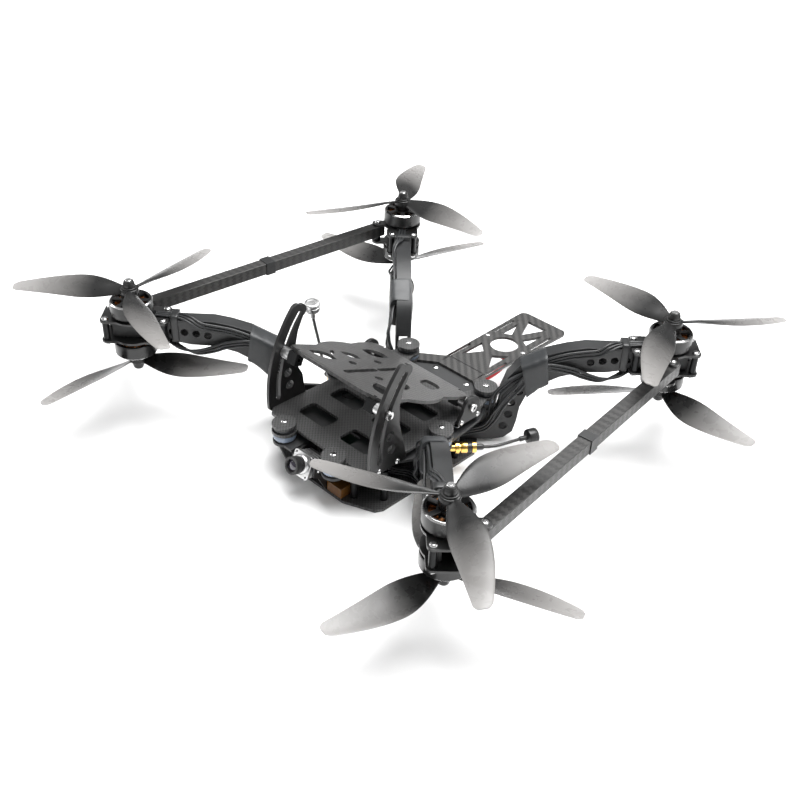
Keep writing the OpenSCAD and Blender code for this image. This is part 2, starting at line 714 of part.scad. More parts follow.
// At f = 0 (root) to 1 (tip): chord, leading sweep, pitch angle, droop and thickness
function blade_chord(f) = (f < 0.4 ? 8 + 15.5 * sin(90 * f / 0.4) : 23.5 - 13.5 * pow((f - 0.4) / 0.6, 1.5));
function blade_sweep(f) = 3.4 * sin(180 * f) - 1.5 * f;
function blade_pitch(f) = 30 - 22 * pow(f, 0.75);
function blade_droop(f) = 1.9 * f * f;
function blade_thick(f) = 2.6 - 1.9 * pow(f, 0.6);
module blade(hand) {
    m = len(sec);
    pts = [for (s = [0 : stations - 1]) let (f = s / (stations - 1),
        r = blade_r0 + f * (prop_d / 2 - blade_r0), c = blade_chord(f), a = blade_pitch(f))
        for (q = sec) let (u = q[0] * c, v = q[1] * blade_thick(f))
            [r, hand * (blade_sweep(f) + u * cos(a) - v * sin(a)), u * sin(a) + v * cos(a) - blade_droop(f)]];
    sides_of = [for (s = [0 : stations - 2], k = [0 : m - 1]) let (n = (k + 1) % m)
        [s * m + k, s * m + n, (s + 1) * m + n]];
    other = [for (s = [0 : stations - 2], k = [0 : m - 1]) let (n = (k + 1) % m)
        [s * m + k, (s + 1) * m + n, (s + 1) * m + k]];
    ends = [[for (k = [m - 1 : -1 : 0]) k], [for (k = [0 : m - 1]) (stations - 1) * m + k]];
    faces = concat(sides_of, other, ends);
    flipped = [for (g = faces) [for (k = [len(g) - 1 : -1 : 0]) g[k]]];
    polyhedron(pts, hand > 0 ? faces : flipped);
}
blade_mid = 5.2;
// Turns from the arm's own frame so that a blade direction can be given in the drone's frame
module prop_at(i) {
    right = floor(i / 2) % 2 == 1;
    rear = i >= 4;
    p = pod_xy(rear);
    translate([right ? -p[0] : p[0], p[1], 0]) rotate([0, 0, BLADE_TURN[i]]) {
        if (i % 2 == 0) translate([0, 0, motor_z]) children();
        else translate([0, 0, 2 * pod_mid_z - motor_z]) mirror([0, 0, 1]) children();
    }
}
module propeller(i) {
    color("#55585c") prop_at(i) difference() {
        union() {
            disc(prop_hub_d / 2, hub_z, hub_z + prop_hub_h);
            for (a = [0, 120, 240]) rotate([0, 0, a]) translate([0, 0, hub_z + blade_mid]) blade(HAND[i]);
        }
        disc(shaft_d / 2 + thread_gap, hub_z - 1, hub_z + prop_hub_h + 1);
    }
}

// ---------- Motor wires ----------
wire_r = 1;
wire_pitch = 2.3;
wire_gap = 0.35;
side_y = arm_w / 2 + wire_r + wire_gap;
wire_start = base_r + base_tab + 0.5;
// Centre line of three flat-lying wires in an arm's frame: distance in, distance to the side, height, roll
function upper_route(n) = [[wire_start, 0, motor_z + 1.15, 0], [36, 2.4, motor_z + 1.3, 8],
    [45, 6.4, motor_z + 0.6, 45], [53, side_y + 0.2, arm_top_z - 1.8, 80],
    [63, side_y, arm_top_z - 3.6, 90], [n - 98, side_y, 83.2, 90], [n - 83, side_y, 77.2, 90],
    [n - 71, side_y, 67.5, 90], [n - 63, side_y + 0.5, 62.5, 90], [n - 55, side_y + 2.5, 58, 90],
    [n - 48.5, side_y + 4, 51, 90], [n - 46.5, side_y + 2.5, 42, 90], [n - 46, side_y + 0.5, 33, 90],
    [n - 45, side_y + 0.2, 23, 90], [n - 40, side_y, 15.5, 90]];
outer_y = side_y + wire_pitch;
under_z = 2 * pod_mid_z - motor_z;
function lower_route(n) = [[wire_start, 0, under_z - 1.15, 180], [27, 1, under_z - 2.6, 180],
    [37, 5.5, under_z - 6.5, 160], [49, outer_y, under_z - 7.1, 120], [62, outer_y, under_z - 4.1, 95],
    [73, outer_y, under_z, 90], [n - 83, outer_y, 74.6, 90],
    [n - 71, outer_y, 66, 90], [n - 63, outer_y + 0.5, 56, 90], [n - 56, outer_y + 2, 47, 90],
    [n - 51, outer_y + 2, 38, 90], [n - 48, outer_y + 1.2, 30, 90], [n - 45.5, outer_y + 0.5, 22.5, 90],
    [n - 40, outer_y, 15.5, 90]];
stack_x = 20;
stack_y = -45;
esc_z = [6.5, 13];
esc_t = 1.6;
// Last stretch inside the bay, in the drone's frame, to the edge of the speed controllers
wire_end_z = (esc_z[0] + esc_z[1] + esc_t) / 2;
function bay_route(rear) = rear
    ? [[41, 26.5, 12], [34, 12, wire_end_z], [29, -8, wire_end_z], [28, -24, wire_end_z],
       [25.5, -34, wire_end_z], [stack_x + 0.3, -37, wire_end_z]]
    : [[50, -42, 11.5], [38, -47, wire_end_z], [28, -50.5, wire_end_z], [stack_x + 0.3, -51, wire_end_z]];
// The wires run on the front-facing side of every arm, the lower motor's three outside the upper's
function wire_path(rear, low, k) = let (n = arm_len(rear), s = rear ? 1 : -1,
    route = low ? lower_route(n) : upper_route(n), out = s * brace_side(rear),
    mid = concat([for (p = route) to_world(rear, [-p[0], s * p[1], p[2]])], bay_route(rear)),
    first = len(route), m = len(mid))
    [for (i = [0 : m - 1]) let (t = unit(mid[min(i + 1, m - 1)] - mid[max(i - 1, 0)]),
        lay = i < first ? unit([out[0], out[1], 0] * sin(route[i][3]) + [0, 0, cos(route[i][3])])
            : unit(cross([0, 0, 1], t)))
        mid[i] + k * wire_pitch * unit(cross(t, lay)) + (low && i >= first ? wire_pitch : 0) * lay];
module motor_wires() {
    color("#1f2124") both_sides() for (rear = [false, true], low = [false, true], k = [-1, 0, 1])
        sweep(spline(wire_path(rear, low, k), 2), wire_r);
}
wrap_y = outer_y + wire_r + wire_gap;
wrap_t = 0.8;
wrap_gap = 0.3;
tie_x = 35.6;
tie_w = 5.6;
tie_z = 70.9;
// Moves a line of points to its left by d, with mitred corners
function moved(line, d) = let (m = len(line), side = [for (i = [0 : m - 2])
    let (u = unit(line[i + 1] - line[i])) [-u[1], u[0]]])
    [for (i = [0 : m - 1]) let (a = side[max(i - 1, 0)], b = side[min(i, m - 2)])
        line[i] + d * (a + b) / (1 + a * b)];
module wrap_shape(n, grow) {
    low = moved([for (i = [5 : 9]) arm_low(n)[i]], -wrap_gap - grow);
    high = moved([for (i = [2 : 5]) arm_high(n)[i]], wrap_gap + cover_t + grow);
    polygon(concat(low, [for (i = [len(high) - 1 : -1 : 0]) high[i]]));
}
module wire_wraps() {
    tie_h = motor_z + 2.6 - tie_z;
    color("#2a2c30") for (right = [false, true], rear = [false, true]) {
        n = arm_len(rear);
        at_pod(right, rear) mirror_if(!rear, [0, 1, 0]) difference() {
            along_arm(-arm_w / 2 - wrap_gap - wrap_t, arm_w / 2 + wrap_gap + 2 * wrap_t + wrap_y)
                intersection() {
                    wrap_shape(n, wrap_t);
                    translate([n - 87, 0]) square([19, 2 * arm_top_z]);
                }
            along_arm(-arm_w / 2 - wrap_gap, arm_w / 2 + wrap_gap + wrap_y) wrap_shape(n, 0);
        }
        at_pod(right, rear) difference() {
            translate([-tie_x, -arm_w / 2 - wrap_gap - wrap_t, tie_z - wrap_t])
                cube([tie_w, arm_w + 2 * (wrap_gap + wrap_t), tie_h + 2 * wrap_t]);
            translate([-tie_x - 1, -arm_w / 2 - wrap_gap, tie_z])
                cube([tie_w + 2, arm_w + 2 * wrap_gap, tie_h]);
        }
    }
}

// ---------- First-person camera ----------
fpv_tilt = 21;
fpv_pivot = [0, -103, 24];
fpv_size = 19;
fpv_depth = 20;
fpv_front = 7;
lens_r = 6.8;
// Camera frame: x along the pivot, y back, z up through the housing
module in_camera() {
    translate(fpv_pivot) rotate([-fpv_tilt, 0, 0]) children();
}
module fpv_camera() {
    color("#a9acae") in_camera() difference() {
        union() {
            translate([0, -fpv_front + 2, 0]) rotate([90, 0, 0]) linear_extrude(2)
                rounded_rect(fpv_size, fpv_size, 2.5);
            translate([-8.2, -fpv_front + 2, -8.2]) cube([16.4, fpv_depth - 6, 16.4]);
            translate([0, -fpv_front, 0]) rotate([90, 0, 0]) cylinder(r = lens_r + 1, h = 2.4);
        }
        translate([0, -fpv_front + 5, 0]) rotate([90, 0, 0]) cylinder(r = 5.05, h = 12);
        for (x = [-1, 1], z = [-1, 1]) translate([7.3 * x, -fpv_front + 3, 7.3 * z])
            rotate([90, 0, 0]) cylinder(r = 0.8, h = 6);
        rotate([0, 90, 0]) translate([0, 0, -12]) cylinder(r = 0.9, h = 24);
    }
}
module fpv_lens() {
    color("#0c0d0f") in_camera() rotate([90, 0, 0]) {
        disc(5, fpv_front - 4, fpv_front + 3);
        difference() {
            disc(lens_r, fpv_front + 2.6, fpv_front + 10);
            disc(4.6, fpv_front + 8.4, fpv_front + 11);
        }
    }
}
module fpv_screws() {
    color("#9fa2a6") in_camera() for (s = [0, 180]) rotate([0, 0, s]) {
        translate([8.2, 0, 0]) rotate([0, 90, 0]) cylinder(r = 0.85, h = notch_half_w - 8.2);
        translate([notch_half_w + 0.1, 0, 0]) rotate([0, 90, 0]) cylinder(r = 1.7, h = 1.2);
        translate([notch_half_w, 0, 0]) rotate([0, 90, 0]) cylinder(r = 0.85, h = 0.2);
    }
}
module fpv_bracket() {
    w = fpv_half_w;
    color("#151618") both_sides() side_plate(w, fpv_wall_t) difference() {
        polygon([[nose_y, plate_t], [-84, plate_t], [-84, bay_top + plate_t], [-90, bay_top + plate_t],
            [-98, 31], [-107, 28.5], [-108, 20], [-103, 16]]);
        translate([fpv_pivot[1], fpv_pivot[2]]) circle(0.9);
    }
}

// ---------- Electronics ----------
hole_pitch = 30.5;
stack_screw_r = 1.5;
fc_z = 19.5;
module stack_corners() {
    for (x = [-1, 1], y = [-1, 1]) translate([x * hole_pitch / 2, stack_y + y * hole_pitch / 2]) children();
}
module board(z, t) {
    translate([0, 0, z]) linear_extrude(t) difference() {
        translate([0, stack_y]) rounded_rect(2 * stack_x, 38, 3);
        stack_corners() circle(stack_screw_r + 0.1);
    }
}
module speed_controllers() {
    color("#20242a") for (z = esc_z) {
        board(z, esc_t);
        for (y = [-12, -4, 4, 12]) translate([-12, stack_y + y - 2, z + esc_t]) cube([24, 4, 1.4]);
    }
}
module flight_controller() {
    color("#15301f") {
        board(fc_z, esc_t);
        translate([-5, stack_y - 5, fc_z + esc_t]) cube([10, 10, 1.2]);
        translate([-4, stack_y + 12, fc_z + esc_t]) cube([8, 6, 3]);
    }
}
module stack_posts() {
    stack_corners() {
        disc(stack_screw_r, 0, fc_z + esc_t + 3.4);
        tube(2.6, stack_screw_r + eps, plate_t, esc_z[0]);
        tube(2.6, stack_screw_r + eps, esc_z[0] + esc_t, esc_z[1]);
        tube(2.6, stack_screw_r + eps, esc_z[1] + esc_t, fc_z);
        tube(2.8, stack_screw_r + eps, fc_z + esc_t, fc_z + esc_t + 2.4);
    }
}
module video_transmitter() {
    color("#3b3e43") difference() {
        translate([-17, -21, bay_top - 9]) cube([34, 22, 9]);
        for (x = [-13.5 : 3 : 13.5]) translate([x - 0.6, -20, bay_top - 10]) cube([1.2, 20, 3]);
    }
}
module radio_receiver() {
    color("#a5622a") translate([notch_half_w + 0.4, nose_y + 0.2, plate_t]) cube([15.5, 11, 9]);
}
// Each socket frame has +X along the socket, outward
socket_z = 22;
SOCKETS = [[54, -13, 50], [-53, -11, 180]];
socket_len = 17;
socket_r = 3.1;
plug_len = 7;
module at_socket(i) {
    translate([SOCKETS[i][0], SOCKETS[i][1], socket_z]) rotate([0, 0, SOCKETS[i][2]]) rotate([0, 90, 0])
        children();
}
module antenna_sockets() {
    color("#c8992f") for (i = [0, 1]) at_socket(i) difference() {
        union() {
            translate([-4, -5.5, 0]) cube([socket_z - plate_t + 4, 11, 1.5]);
            cylinder(r = socket_r, h = socket_len);
            translate([0, 0, 8]) cylinder(r = 4.6, h = 3);
        }
        translate([0, 0, socket_len - 6]) cylinder(r = 1.5, h = 10);
    }
}
coax_r = 1.25;
head_r = 6;
head_len = 8;
LEFT_COAX = [[75, 12, 22], [79, 18, 22], [82, 26, 22], [84.5, 34, 22], [88, 44, 22]];
RIGHT_COAX = [[-76.5, -11, 23.5], [-79.5, -12.5, 28], [-80, -16.5, 37], [-75, -24.5, 60],
    [-71, -33.5, 87], [-70, -35.5, 97]];
module antenna(i, route) {
    at_socket(i) difference() {
        cylinder(r = 4.3, h = socket_len + plug_len);
        translate([0, 0, -1]) cylinder(r = socket_r + 0.05, h = socket_len + 1.05);
        translate([0, 0, -1]) cylinder(r = 8, h = 13);
    }
    at_socket(i) disc(2.4, socket_len + plug_len, socket_len + plug_len + 5);
    start = SOCKETS[i] + (socket_len + plug_len + 3) * [cos(SOCKETS[i][2]), sin(SOCKETS[i][2]), 0];
    points = concat([[start[0], start[1], socket_z]], route);
    sweep(spline(points, 4), coax_r, 8, [0.3, 0.5, 0.8]);
    a = points[len(points) - 2];
    b = points[len(points) - 1];
    d = unit(b - a);
    translate(b) rotate([0, acos(d[2]), atan2(d[1], d[0])]) {
        disc(2, -7, 0);
        disc(head_r, 0, head_len);
    }
}
module antennas() {
    color("#1b1c1e") antenna(0, LEFT_COAX);
    color("#8d9094") antenna(1, RIGHT_COAX);
}
lead_r = 2.1;
plug_back = 78;
RED_LEAD = [[3, -25.8, 7.3], [3.2, 0, 7.3], [3.4, 40, 9], [4, 60, 12.5], [8, 80, 17], [12, 98, 22],
    [9, 110, 26], [1, 111.5, 27.3], [-8, 105, 26.5], [-13, 92, 25], [-13.5, plug_back, 24.8]];
BLACK_LEAD = [[-3, -25.8, 7.3], [-2.8, 0, 7.3], [-2.6, 40, 9], [-3, 60, 9.5], [0, 78, 13],
    [2, 90, 17], [-1, 97, 20], [-6, 92, 22.5], [-6.5, plug_back, 24.8]];
plug_size = [16, 17, 9];
plug_at = [-10, 70.5, bay_top - plug_size[2] / 2];
// Two leads from the speed controllers, looped back to a plug that is strapped under the frame
module battery_lead() {
    color("#b3201c") sweep(spline(RED_LEAD, 3), lead_r, 8);
    color("#141414") sweep(spline(BLACK_LEAD, 3), lead_r, 8);
    color("#8a7f2a") translate(plug_at) cube(plug_size, center = true);
}

for (i = [0 : len(ROTORS) - 1]) {
    motor_bell(i);
    propeller(i);
}
bottom_plate();
mid_plate();
tail_plate();
frame_standoffs();
frame_screws();
deck();
damper_upper_rings();
damper_lower_rings();
damper_washers();
damper_bolts();
side_fins();
pivot_brackets();
deck_screws();
tilt_plate();
tilt_standoffs();
tilt_tabs();
tilt_screws();
front_left_arm();
front_right_arm();
rear_left_arm();
rear_right_arm();
arm_covers();
arm_spacers();
motor_plates();
pod_screws();
arm_braces();
brace_clips();
motor_bases();
motor_bearings();
stator_cores();
windings();
motor_wires();
wire_wraps();
fpv_camera();
fpv_lens();
fpv_screws();
fpv_bracket();
flight_controller();
speed_controllers();
video_transmitter();
radio_receiver();
antenna_sockets();
antennas();
battery_lead();
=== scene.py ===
"""Looks of an eight-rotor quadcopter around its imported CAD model. Metres, +Z up, -Y is the front."""
import json
import math

import bmesh
import bpy
from mathutils import Matrix, Vector, noise


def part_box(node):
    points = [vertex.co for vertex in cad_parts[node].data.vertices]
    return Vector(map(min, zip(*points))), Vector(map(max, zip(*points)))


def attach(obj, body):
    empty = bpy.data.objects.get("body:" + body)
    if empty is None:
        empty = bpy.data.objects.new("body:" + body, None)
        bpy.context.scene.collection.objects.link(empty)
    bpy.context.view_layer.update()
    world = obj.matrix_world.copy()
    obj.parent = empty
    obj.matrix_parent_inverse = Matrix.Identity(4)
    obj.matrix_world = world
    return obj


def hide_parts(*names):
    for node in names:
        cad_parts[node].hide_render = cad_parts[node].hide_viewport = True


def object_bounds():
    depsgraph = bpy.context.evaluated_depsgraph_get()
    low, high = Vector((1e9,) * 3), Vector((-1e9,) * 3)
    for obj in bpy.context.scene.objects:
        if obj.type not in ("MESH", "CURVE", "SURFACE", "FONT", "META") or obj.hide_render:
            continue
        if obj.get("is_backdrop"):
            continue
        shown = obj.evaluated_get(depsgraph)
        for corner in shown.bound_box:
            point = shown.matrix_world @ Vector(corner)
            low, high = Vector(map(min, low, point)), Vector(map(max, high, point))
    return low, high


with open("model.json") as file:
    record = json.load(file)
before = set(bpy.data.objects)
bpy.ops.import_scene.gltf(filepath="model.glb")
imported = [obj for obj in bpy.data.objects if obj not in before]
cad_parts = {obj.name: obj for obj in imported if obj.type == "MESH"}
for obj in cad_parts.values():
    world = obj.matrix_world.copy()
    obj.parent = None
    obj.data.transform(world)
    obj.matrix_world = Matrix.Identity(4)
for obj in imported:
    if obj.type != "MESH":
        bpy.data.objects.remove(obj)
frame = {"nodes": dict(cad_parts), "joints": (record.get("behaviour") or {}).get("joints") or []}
CAD_LOW, CAD_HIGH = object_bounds()
NODES = frame["nodes"]
MM = 0.001
UP = Vector((0, 0, 1))
ROOT = "frame"


# ---------- Shader helpers ----------
class Shader:
    """One material with a principled shader, and short calls that add nodes to it."""

    def __init__(self, name, **values):
        self.material = bpy.data.materials.new(name)
        self.material.use_nodes = True
        self.tree = self.material.node_tree
        self.tree.nodes.clear()
        out = self.tree.nodes.new("ShaderNodeOutputMaterial")
        self.bsdf = self.tree.nodes.new("ShaderNodeBsdfPrincipled")
        self.tree.links.new(self.bsdf.outputs[0], out.inputs[0])
        for key, value in values.items():
            self.set(key.replace("_", " "), value)

    def put(self, socket, value):
        if isinstance(value, bpy.types.NodeSocket):
            self.tree.links.new(value, socket)
        elif isinstance(value, tuple) and len(value) == 3 and socket.type == "RGBA":
            socket.default_value = (*value, 1)
        else:
            socket.default_value = value

    def set(self, name, value):
        self.put(self.bsdf.inputs[name], value)

    def node(self, kind, **settings):
        made = self.tree.nodes.new("ShaderNode" + kind)
        for key, value in settings.items():
            setattr(made, key, value)
        return made

    def math(self, operation, *values):
        made = self.node("Math", operation=operation)
        for socket, value in zip(made.inputs, values):
            self.put(socket, value)
        return made.outputs[0]

    def place(self):
        return self.node("TexCoord").outputs["Object"]

    def axes(self, vector=None):
        made = self.node("SeparateXYZ")
        self.put(made.inputs[0], vector or self.place())
        return made.outputs

    def along(self, direction, vector=None):
        made = self.node("VectorMath", operation="DOT_PRODUCT")
        self.put(made.inputs[0], vector or self.place())
        self.put(made.inputs[1], tuple(direction))
        return made.outputs["Value"]

    def noise(self, size, detail=3.0, vector=None, stretch=None):
        made = self.node("TexNoise")
        where = vector or self.place()
        if stretch:
            scaled = self.node("VectorMath", operation="MULTIPLY")
            self.put(scaled.inputs[0], where)
            self.put(scaled.inputs[1], stretch)
            where = scaled.outputs[0]
        self.put(made.inputs["Vector"], where)
        self.put(made.inputs["Scale"], 1 / size)
        self.put(made.inputs["Detail"], detail)
        return made.outputs["Fac"]

    def span(self, value, low, high, to_low=0.0, to_high=1.0):
        made = self.node("MapRange")
        for name, v in zip(("Value", "From Min", "From Max", "To Min", "To Max"),
                           (value, low, high, to_low, to_high)):
            self.put(made.inputs[name], v)
        return made.outputs[0]

    def blend(self, share, first, second):
        made = self.node("Mix", data_type="RGBA")
        self.put(made.inputs["Factor"], share)
        self.put(made.inputs[6], first)
        self.put(made.inputs[7], second)
        return made.outputs[2]

    def bump(self, height, depth, strength=1.0):
        made = self.node("Bump")
        self.put(made.inputs["Height"], height)
        self.put(made.inputs["Distance"], depth)
        self.put(made.inputs["Strength"], strength)
        self.set("Normal", made.outputs[0])


def grey(level, tint=0.0):
    """A grey, made bluer by a positive tint and warmer by a negative one."""
    return (level * (1 - tint), level, level * (1 + tint))


def twill(name, u_dir, v_dir, tow, dark, light, rough=(0.32, 0.5), coat=0.35, depth=0.06, repeat=4.0):
    """Woven carbon: each tow passes over half of the repeat and under the other half."""
    s = Shader(name, Metallic=0.0, Coat_Weight=coat, Coat_Roughness=0.16)
    spot = s.place()
    u = s.math("DIVIDE", s.along(u_dir, spot), tow)
    v = s.math("DIVIDE", s.along(v_dir, spot), tow)
    step = s.math("ADD", s.math("FLOOR", u), s.math("FLOOR", v))
    over = s.math("LESS_THAN", s.math("FLOORED_MODULO", step, repeat), repeat / 2)
    hump_u = s.math("ABSOLUTE", s.math("SINE", s.math("MULTIPLY", u, math.pi)))
    hump_v = s.math("ABSOLUTE", s.math("SINE", s.math("MULTIPLY", v, math.pi)))
    hump = s.math("ADD", s.math("MULTIPLY", hump_u, over),
                  s.math("MULTIPLY", hump_v, s.math("SUBTRACT", 1.0, over)))
    fibre = s.noise(tow * 0.35, 4.0, spot)
    tone = s.math("ADD", s.math("MULTIPLY", over, 0.62), s.math("MULTIPLY", fibre, 0.38))
    worn = s.span(s.noise(0.03, 5.0, spot), 0.35, 0.75)
    s.set("Base Color", s.blend(tone, dark, light))
    s.set("Roughness", s.math("ADD", s.span(over, 0, 1, rough[0], rough[1]), s.math("MULTIPLY", worn, 0.1)))
    s.bump(s.math("POWER", hump, 0.5), depth * MM)
    return s.material


def satin(name, base, rough, grain=0.6, depth=0.02, spread=0.25, **values):
    """A moulded or coated surface: fine grain, patchy gloss and a slight change of tone."""
    s = Shader(name, **values)
    spot = s.place()
    patch = s.span(s.noise(0.02, 4.0, spot), 0.3, 0.7)
    fine = s.noise(grain * MM, 2.0, spot)
    s.set("Base Color", s.blend(s.math("ADD", s.math("MULTIPLY", patch, 0.5), s.math("MULTIPLY", fine, 0.5)),
                                tuple(c * (1 - spread) for c in base), tuple(c * (1 + spread) for c in base)))
    s.set("Roughness", s.span(patch, 0, 1, rough * 0.85, rough * 1.15))
    s.bump(fine, depth * MM)
    return s.material


def machined(name, base, rough, turned=0.12, **values):
    """Metal with fine tool marks that run round Z, and a few dull patches."""
    s = Shader(name, Metallic=1.0, **values)
    spot = s.place()
    marks = s.noise(turned * MM, 2.0, spot, stretch=(0.25, 0.25, 1.0))
    patch = s.span(s.noise(0.006, 3.0, spot), 0.3, 0.7)
    s.set("Base Color", s.blend(patch, tuple(c * 0.86 for c in base), base))
    s.set("Roughness", s.math("ADD", s.span(patch, 0, 1, rough * 1.2, rough * 0.8),
                              s.math("MULTIPLY", marks, 0.08)))
    s.bump(marks, 0.012 * MM)
    return s.material


def smoke_plastic():
    """Clear smoky plastic, near black and thick at the hub, pale and thin towards the blade tips."""
    s = Shader("smoke_plastic", Coat_Weight=0.12, Coat_Roughness=0.2, IOR=1.4)
    spot = s.place()
    x, y, z = s.axes(spot)
    radius = s.math("SQRT", s.math("ADD", s.math("MULTIPLY", x, x), s.math("MULTIPLY", y, y)))
    flow = s.math("MULTIPLY", s.math("SUBTRACT", s.noise(0.02, 3.0, spot, (1, 1, 3)), 0.5), 0.014)
    r = s.math("ADD", radius, flow)
    thin = s.span(r, 0.028, 0.090)
    s.set("Base Color", s.blend(thin, grey(0.012), grey(0.27, -0.03)))
    s.set("Alpha", s.span(r, 0.032, 0.088, 1.0, 0.72))
    s.set("Roughness", s.span(s.noise(0.008, 3.0, spot), 0.3, 0.7, 0.24, 0.34))
    s.set("Specular IOR Level", 0.35)
    s.bump(s.noise(0.004, 2.0, spot), 0.02 * MM)
    return s.material


def wound_copper():
    s = Shader("wound_copper", Metallic=0.85, Coat_Weight=0.5, Coat_Roughness=0.1)
    spot = s.place()
    tone = s.noise(0.0012, 3.0, spot)
    s.set("Base Color", s.blend(tone, (0.16, 0.05, 0.015), (0.62, 0.27, 0.09)))
    s.set("Roughness", s.span(tone, 0.3, 0.7, 0.22, 0.4))
    s.bump(s.noise(0.0005, 1.0, spot), 0.05 * MM)
    return s.material


def silver_lens_glass():
    s = Shader("lens_glass", Roughness=0.03, Coat_Weight=1.0, Coat_Roughness=0.02, IOR=1.6)
    tone = s.noise(0.004, 2.0)
    s.set("Base Color", s.blend(tone, (0.004, 0.004, 0.010), (0.02, 0.012, 0.035)))
    s.bump(tone, 0.002 * MM)
    return s.material


X_AXIS, Y_AXIS = Vector((1, 0, 0)), Vector((0, 1, 0))
TILT = math.radians(21.9)
TILT_UP = Vector((0, -math.cos(TILT), math.sin(TILT)))
MAT = {
    "deck": twill("deck_weave", X_AXIS, Y_AXIS, 1.5 * MM, grey(0.011), grey(0.070), (0.34, 0.5), 0.2,
                  repeat=2.0),
    "tail": twill("tail_twill", X_AXIS, Y_AXIS, 1.95 * MM, grey(0.018), grey(0.050, -0.03), (0.38, 0.5),
                  0.12),
    "tilt": twill("tilt_twill", X_AXIS, TILT_UP, 1.5 * MM, grey(0.015), grey(0.042, -0.02), (0.34, 0.46),
                  0.25),
    "smooth": satin("smooth_carbon", grey(0.022, 0.03), 0.55, grain=0.4, depth=0.01),
    "arm": satin("arm_carbon", grey(0.020, 0.02), 0.5, grain=0.8, depth=0.03, spread=0.4),
    "cover": satin("arm_cover", grey(0.014, 0.05), 0.42, grain=0.3, depth=0.01),
    "tape": satin("black_tape", grey(0.014, 0.04), 0.42, grain=1.0, depth=0.04),
    "sleeve": satin("heat_shrink", grey(0.022, 0.08), 0.44, grain=1.2, depth=0.06),
    "wire": satin("wire_silicone", grey(0.016, 0.06), 0.38, grain=1.5, depth=0.03),
    "fin": satin("fin_black", grey(0.008), 0.32, grain=0.4, depth=0.01, Coat_Weight=0.12, Coat_Roughness=0.2),
    "plate": satin("pod_plate_black", grey(0.011), 0.34, grain=0.5, depth=0.02, Coat_Weight=0.25,
                   Coat_Roughness=0.2),
    "can": satin("can_black", grey(0.010, 0.02), 0.30, grain=0.3, depth=0.004, Coat_Weight=0.08,
                 Coat_Roughness=0.2),
    "anodised": satin("anodised_black", grey(0.018, 0.03), 0.32, grain=0.3, depth=0.006, Metallic=0.8),
    "ring": satin("damper_silicone", (0.20, 0.25, 0.33), 0.3, grain=1.0, depth=0.02, Coat_Weight=0.3,
                  Coat_Roughness=0.2),
    "ring_dark": satin("damper_silicone_dark", grey(0.022, 0.12), 0.35, grain=1.0, depth=0.02),
    "board": satin("board_green", (0.012, 0.035, 0.022), 0.4, grain=1.4, depth=0.05, spread=0.5),
    "amber": satin("amber_film", (0.13, 0.055, 0.012), 0.22, grain=2.0, depth=0.05, Coat_Weight=0.5,
                   Coat_Roughness=0.08),
    "red": satin("red_silicone", (0.42, 0.012, 0.012), 0.35, grain=1.5, depth=0.02),
    "plug": satin("plug_nylon", (0.42, 0.26, 0.03), 0.4, grain=1.0, depth=0.02),
    "black": satin("black_plastic", grey(0.012), 0.35, grain=0.6, depth=0.01),
    "stalk": satin("stalk_grey", grey(0.09), 0.4, grain=0.6, depth=0.01),
    "silver": machined("silver_alloy", grey(0.62), 0.28),
    "steel": machined("bright_steel", grey(0.70), 0.16),
    "chamfer": machined("cut_chamfer", grey(0.78), 0.14),
    "core": machined("core_steel", grey(0.20, -0.05), 0.4),
    "magnet": machined("magnet_nickel", grey(0.66), 0.25),
    "gold": machined("gold_plate", (0.90, 0.58, 0.16), 0.16),
    "smoke": smoke_plastic(),
    "copper": wound_copper(),
    "glass": silver_lens_glass(),
}


# ---------- Mesh helpers ----------
def ring_points(r, z, count):
    """Points of a level circle, from a radius and a height in millimetres."""
    turns = [2 * math.pi * k / count for k in range(count)]
    return [(r * MM * math.cos(a), r * MM * math.sin(a), z * MM) for a in turns]


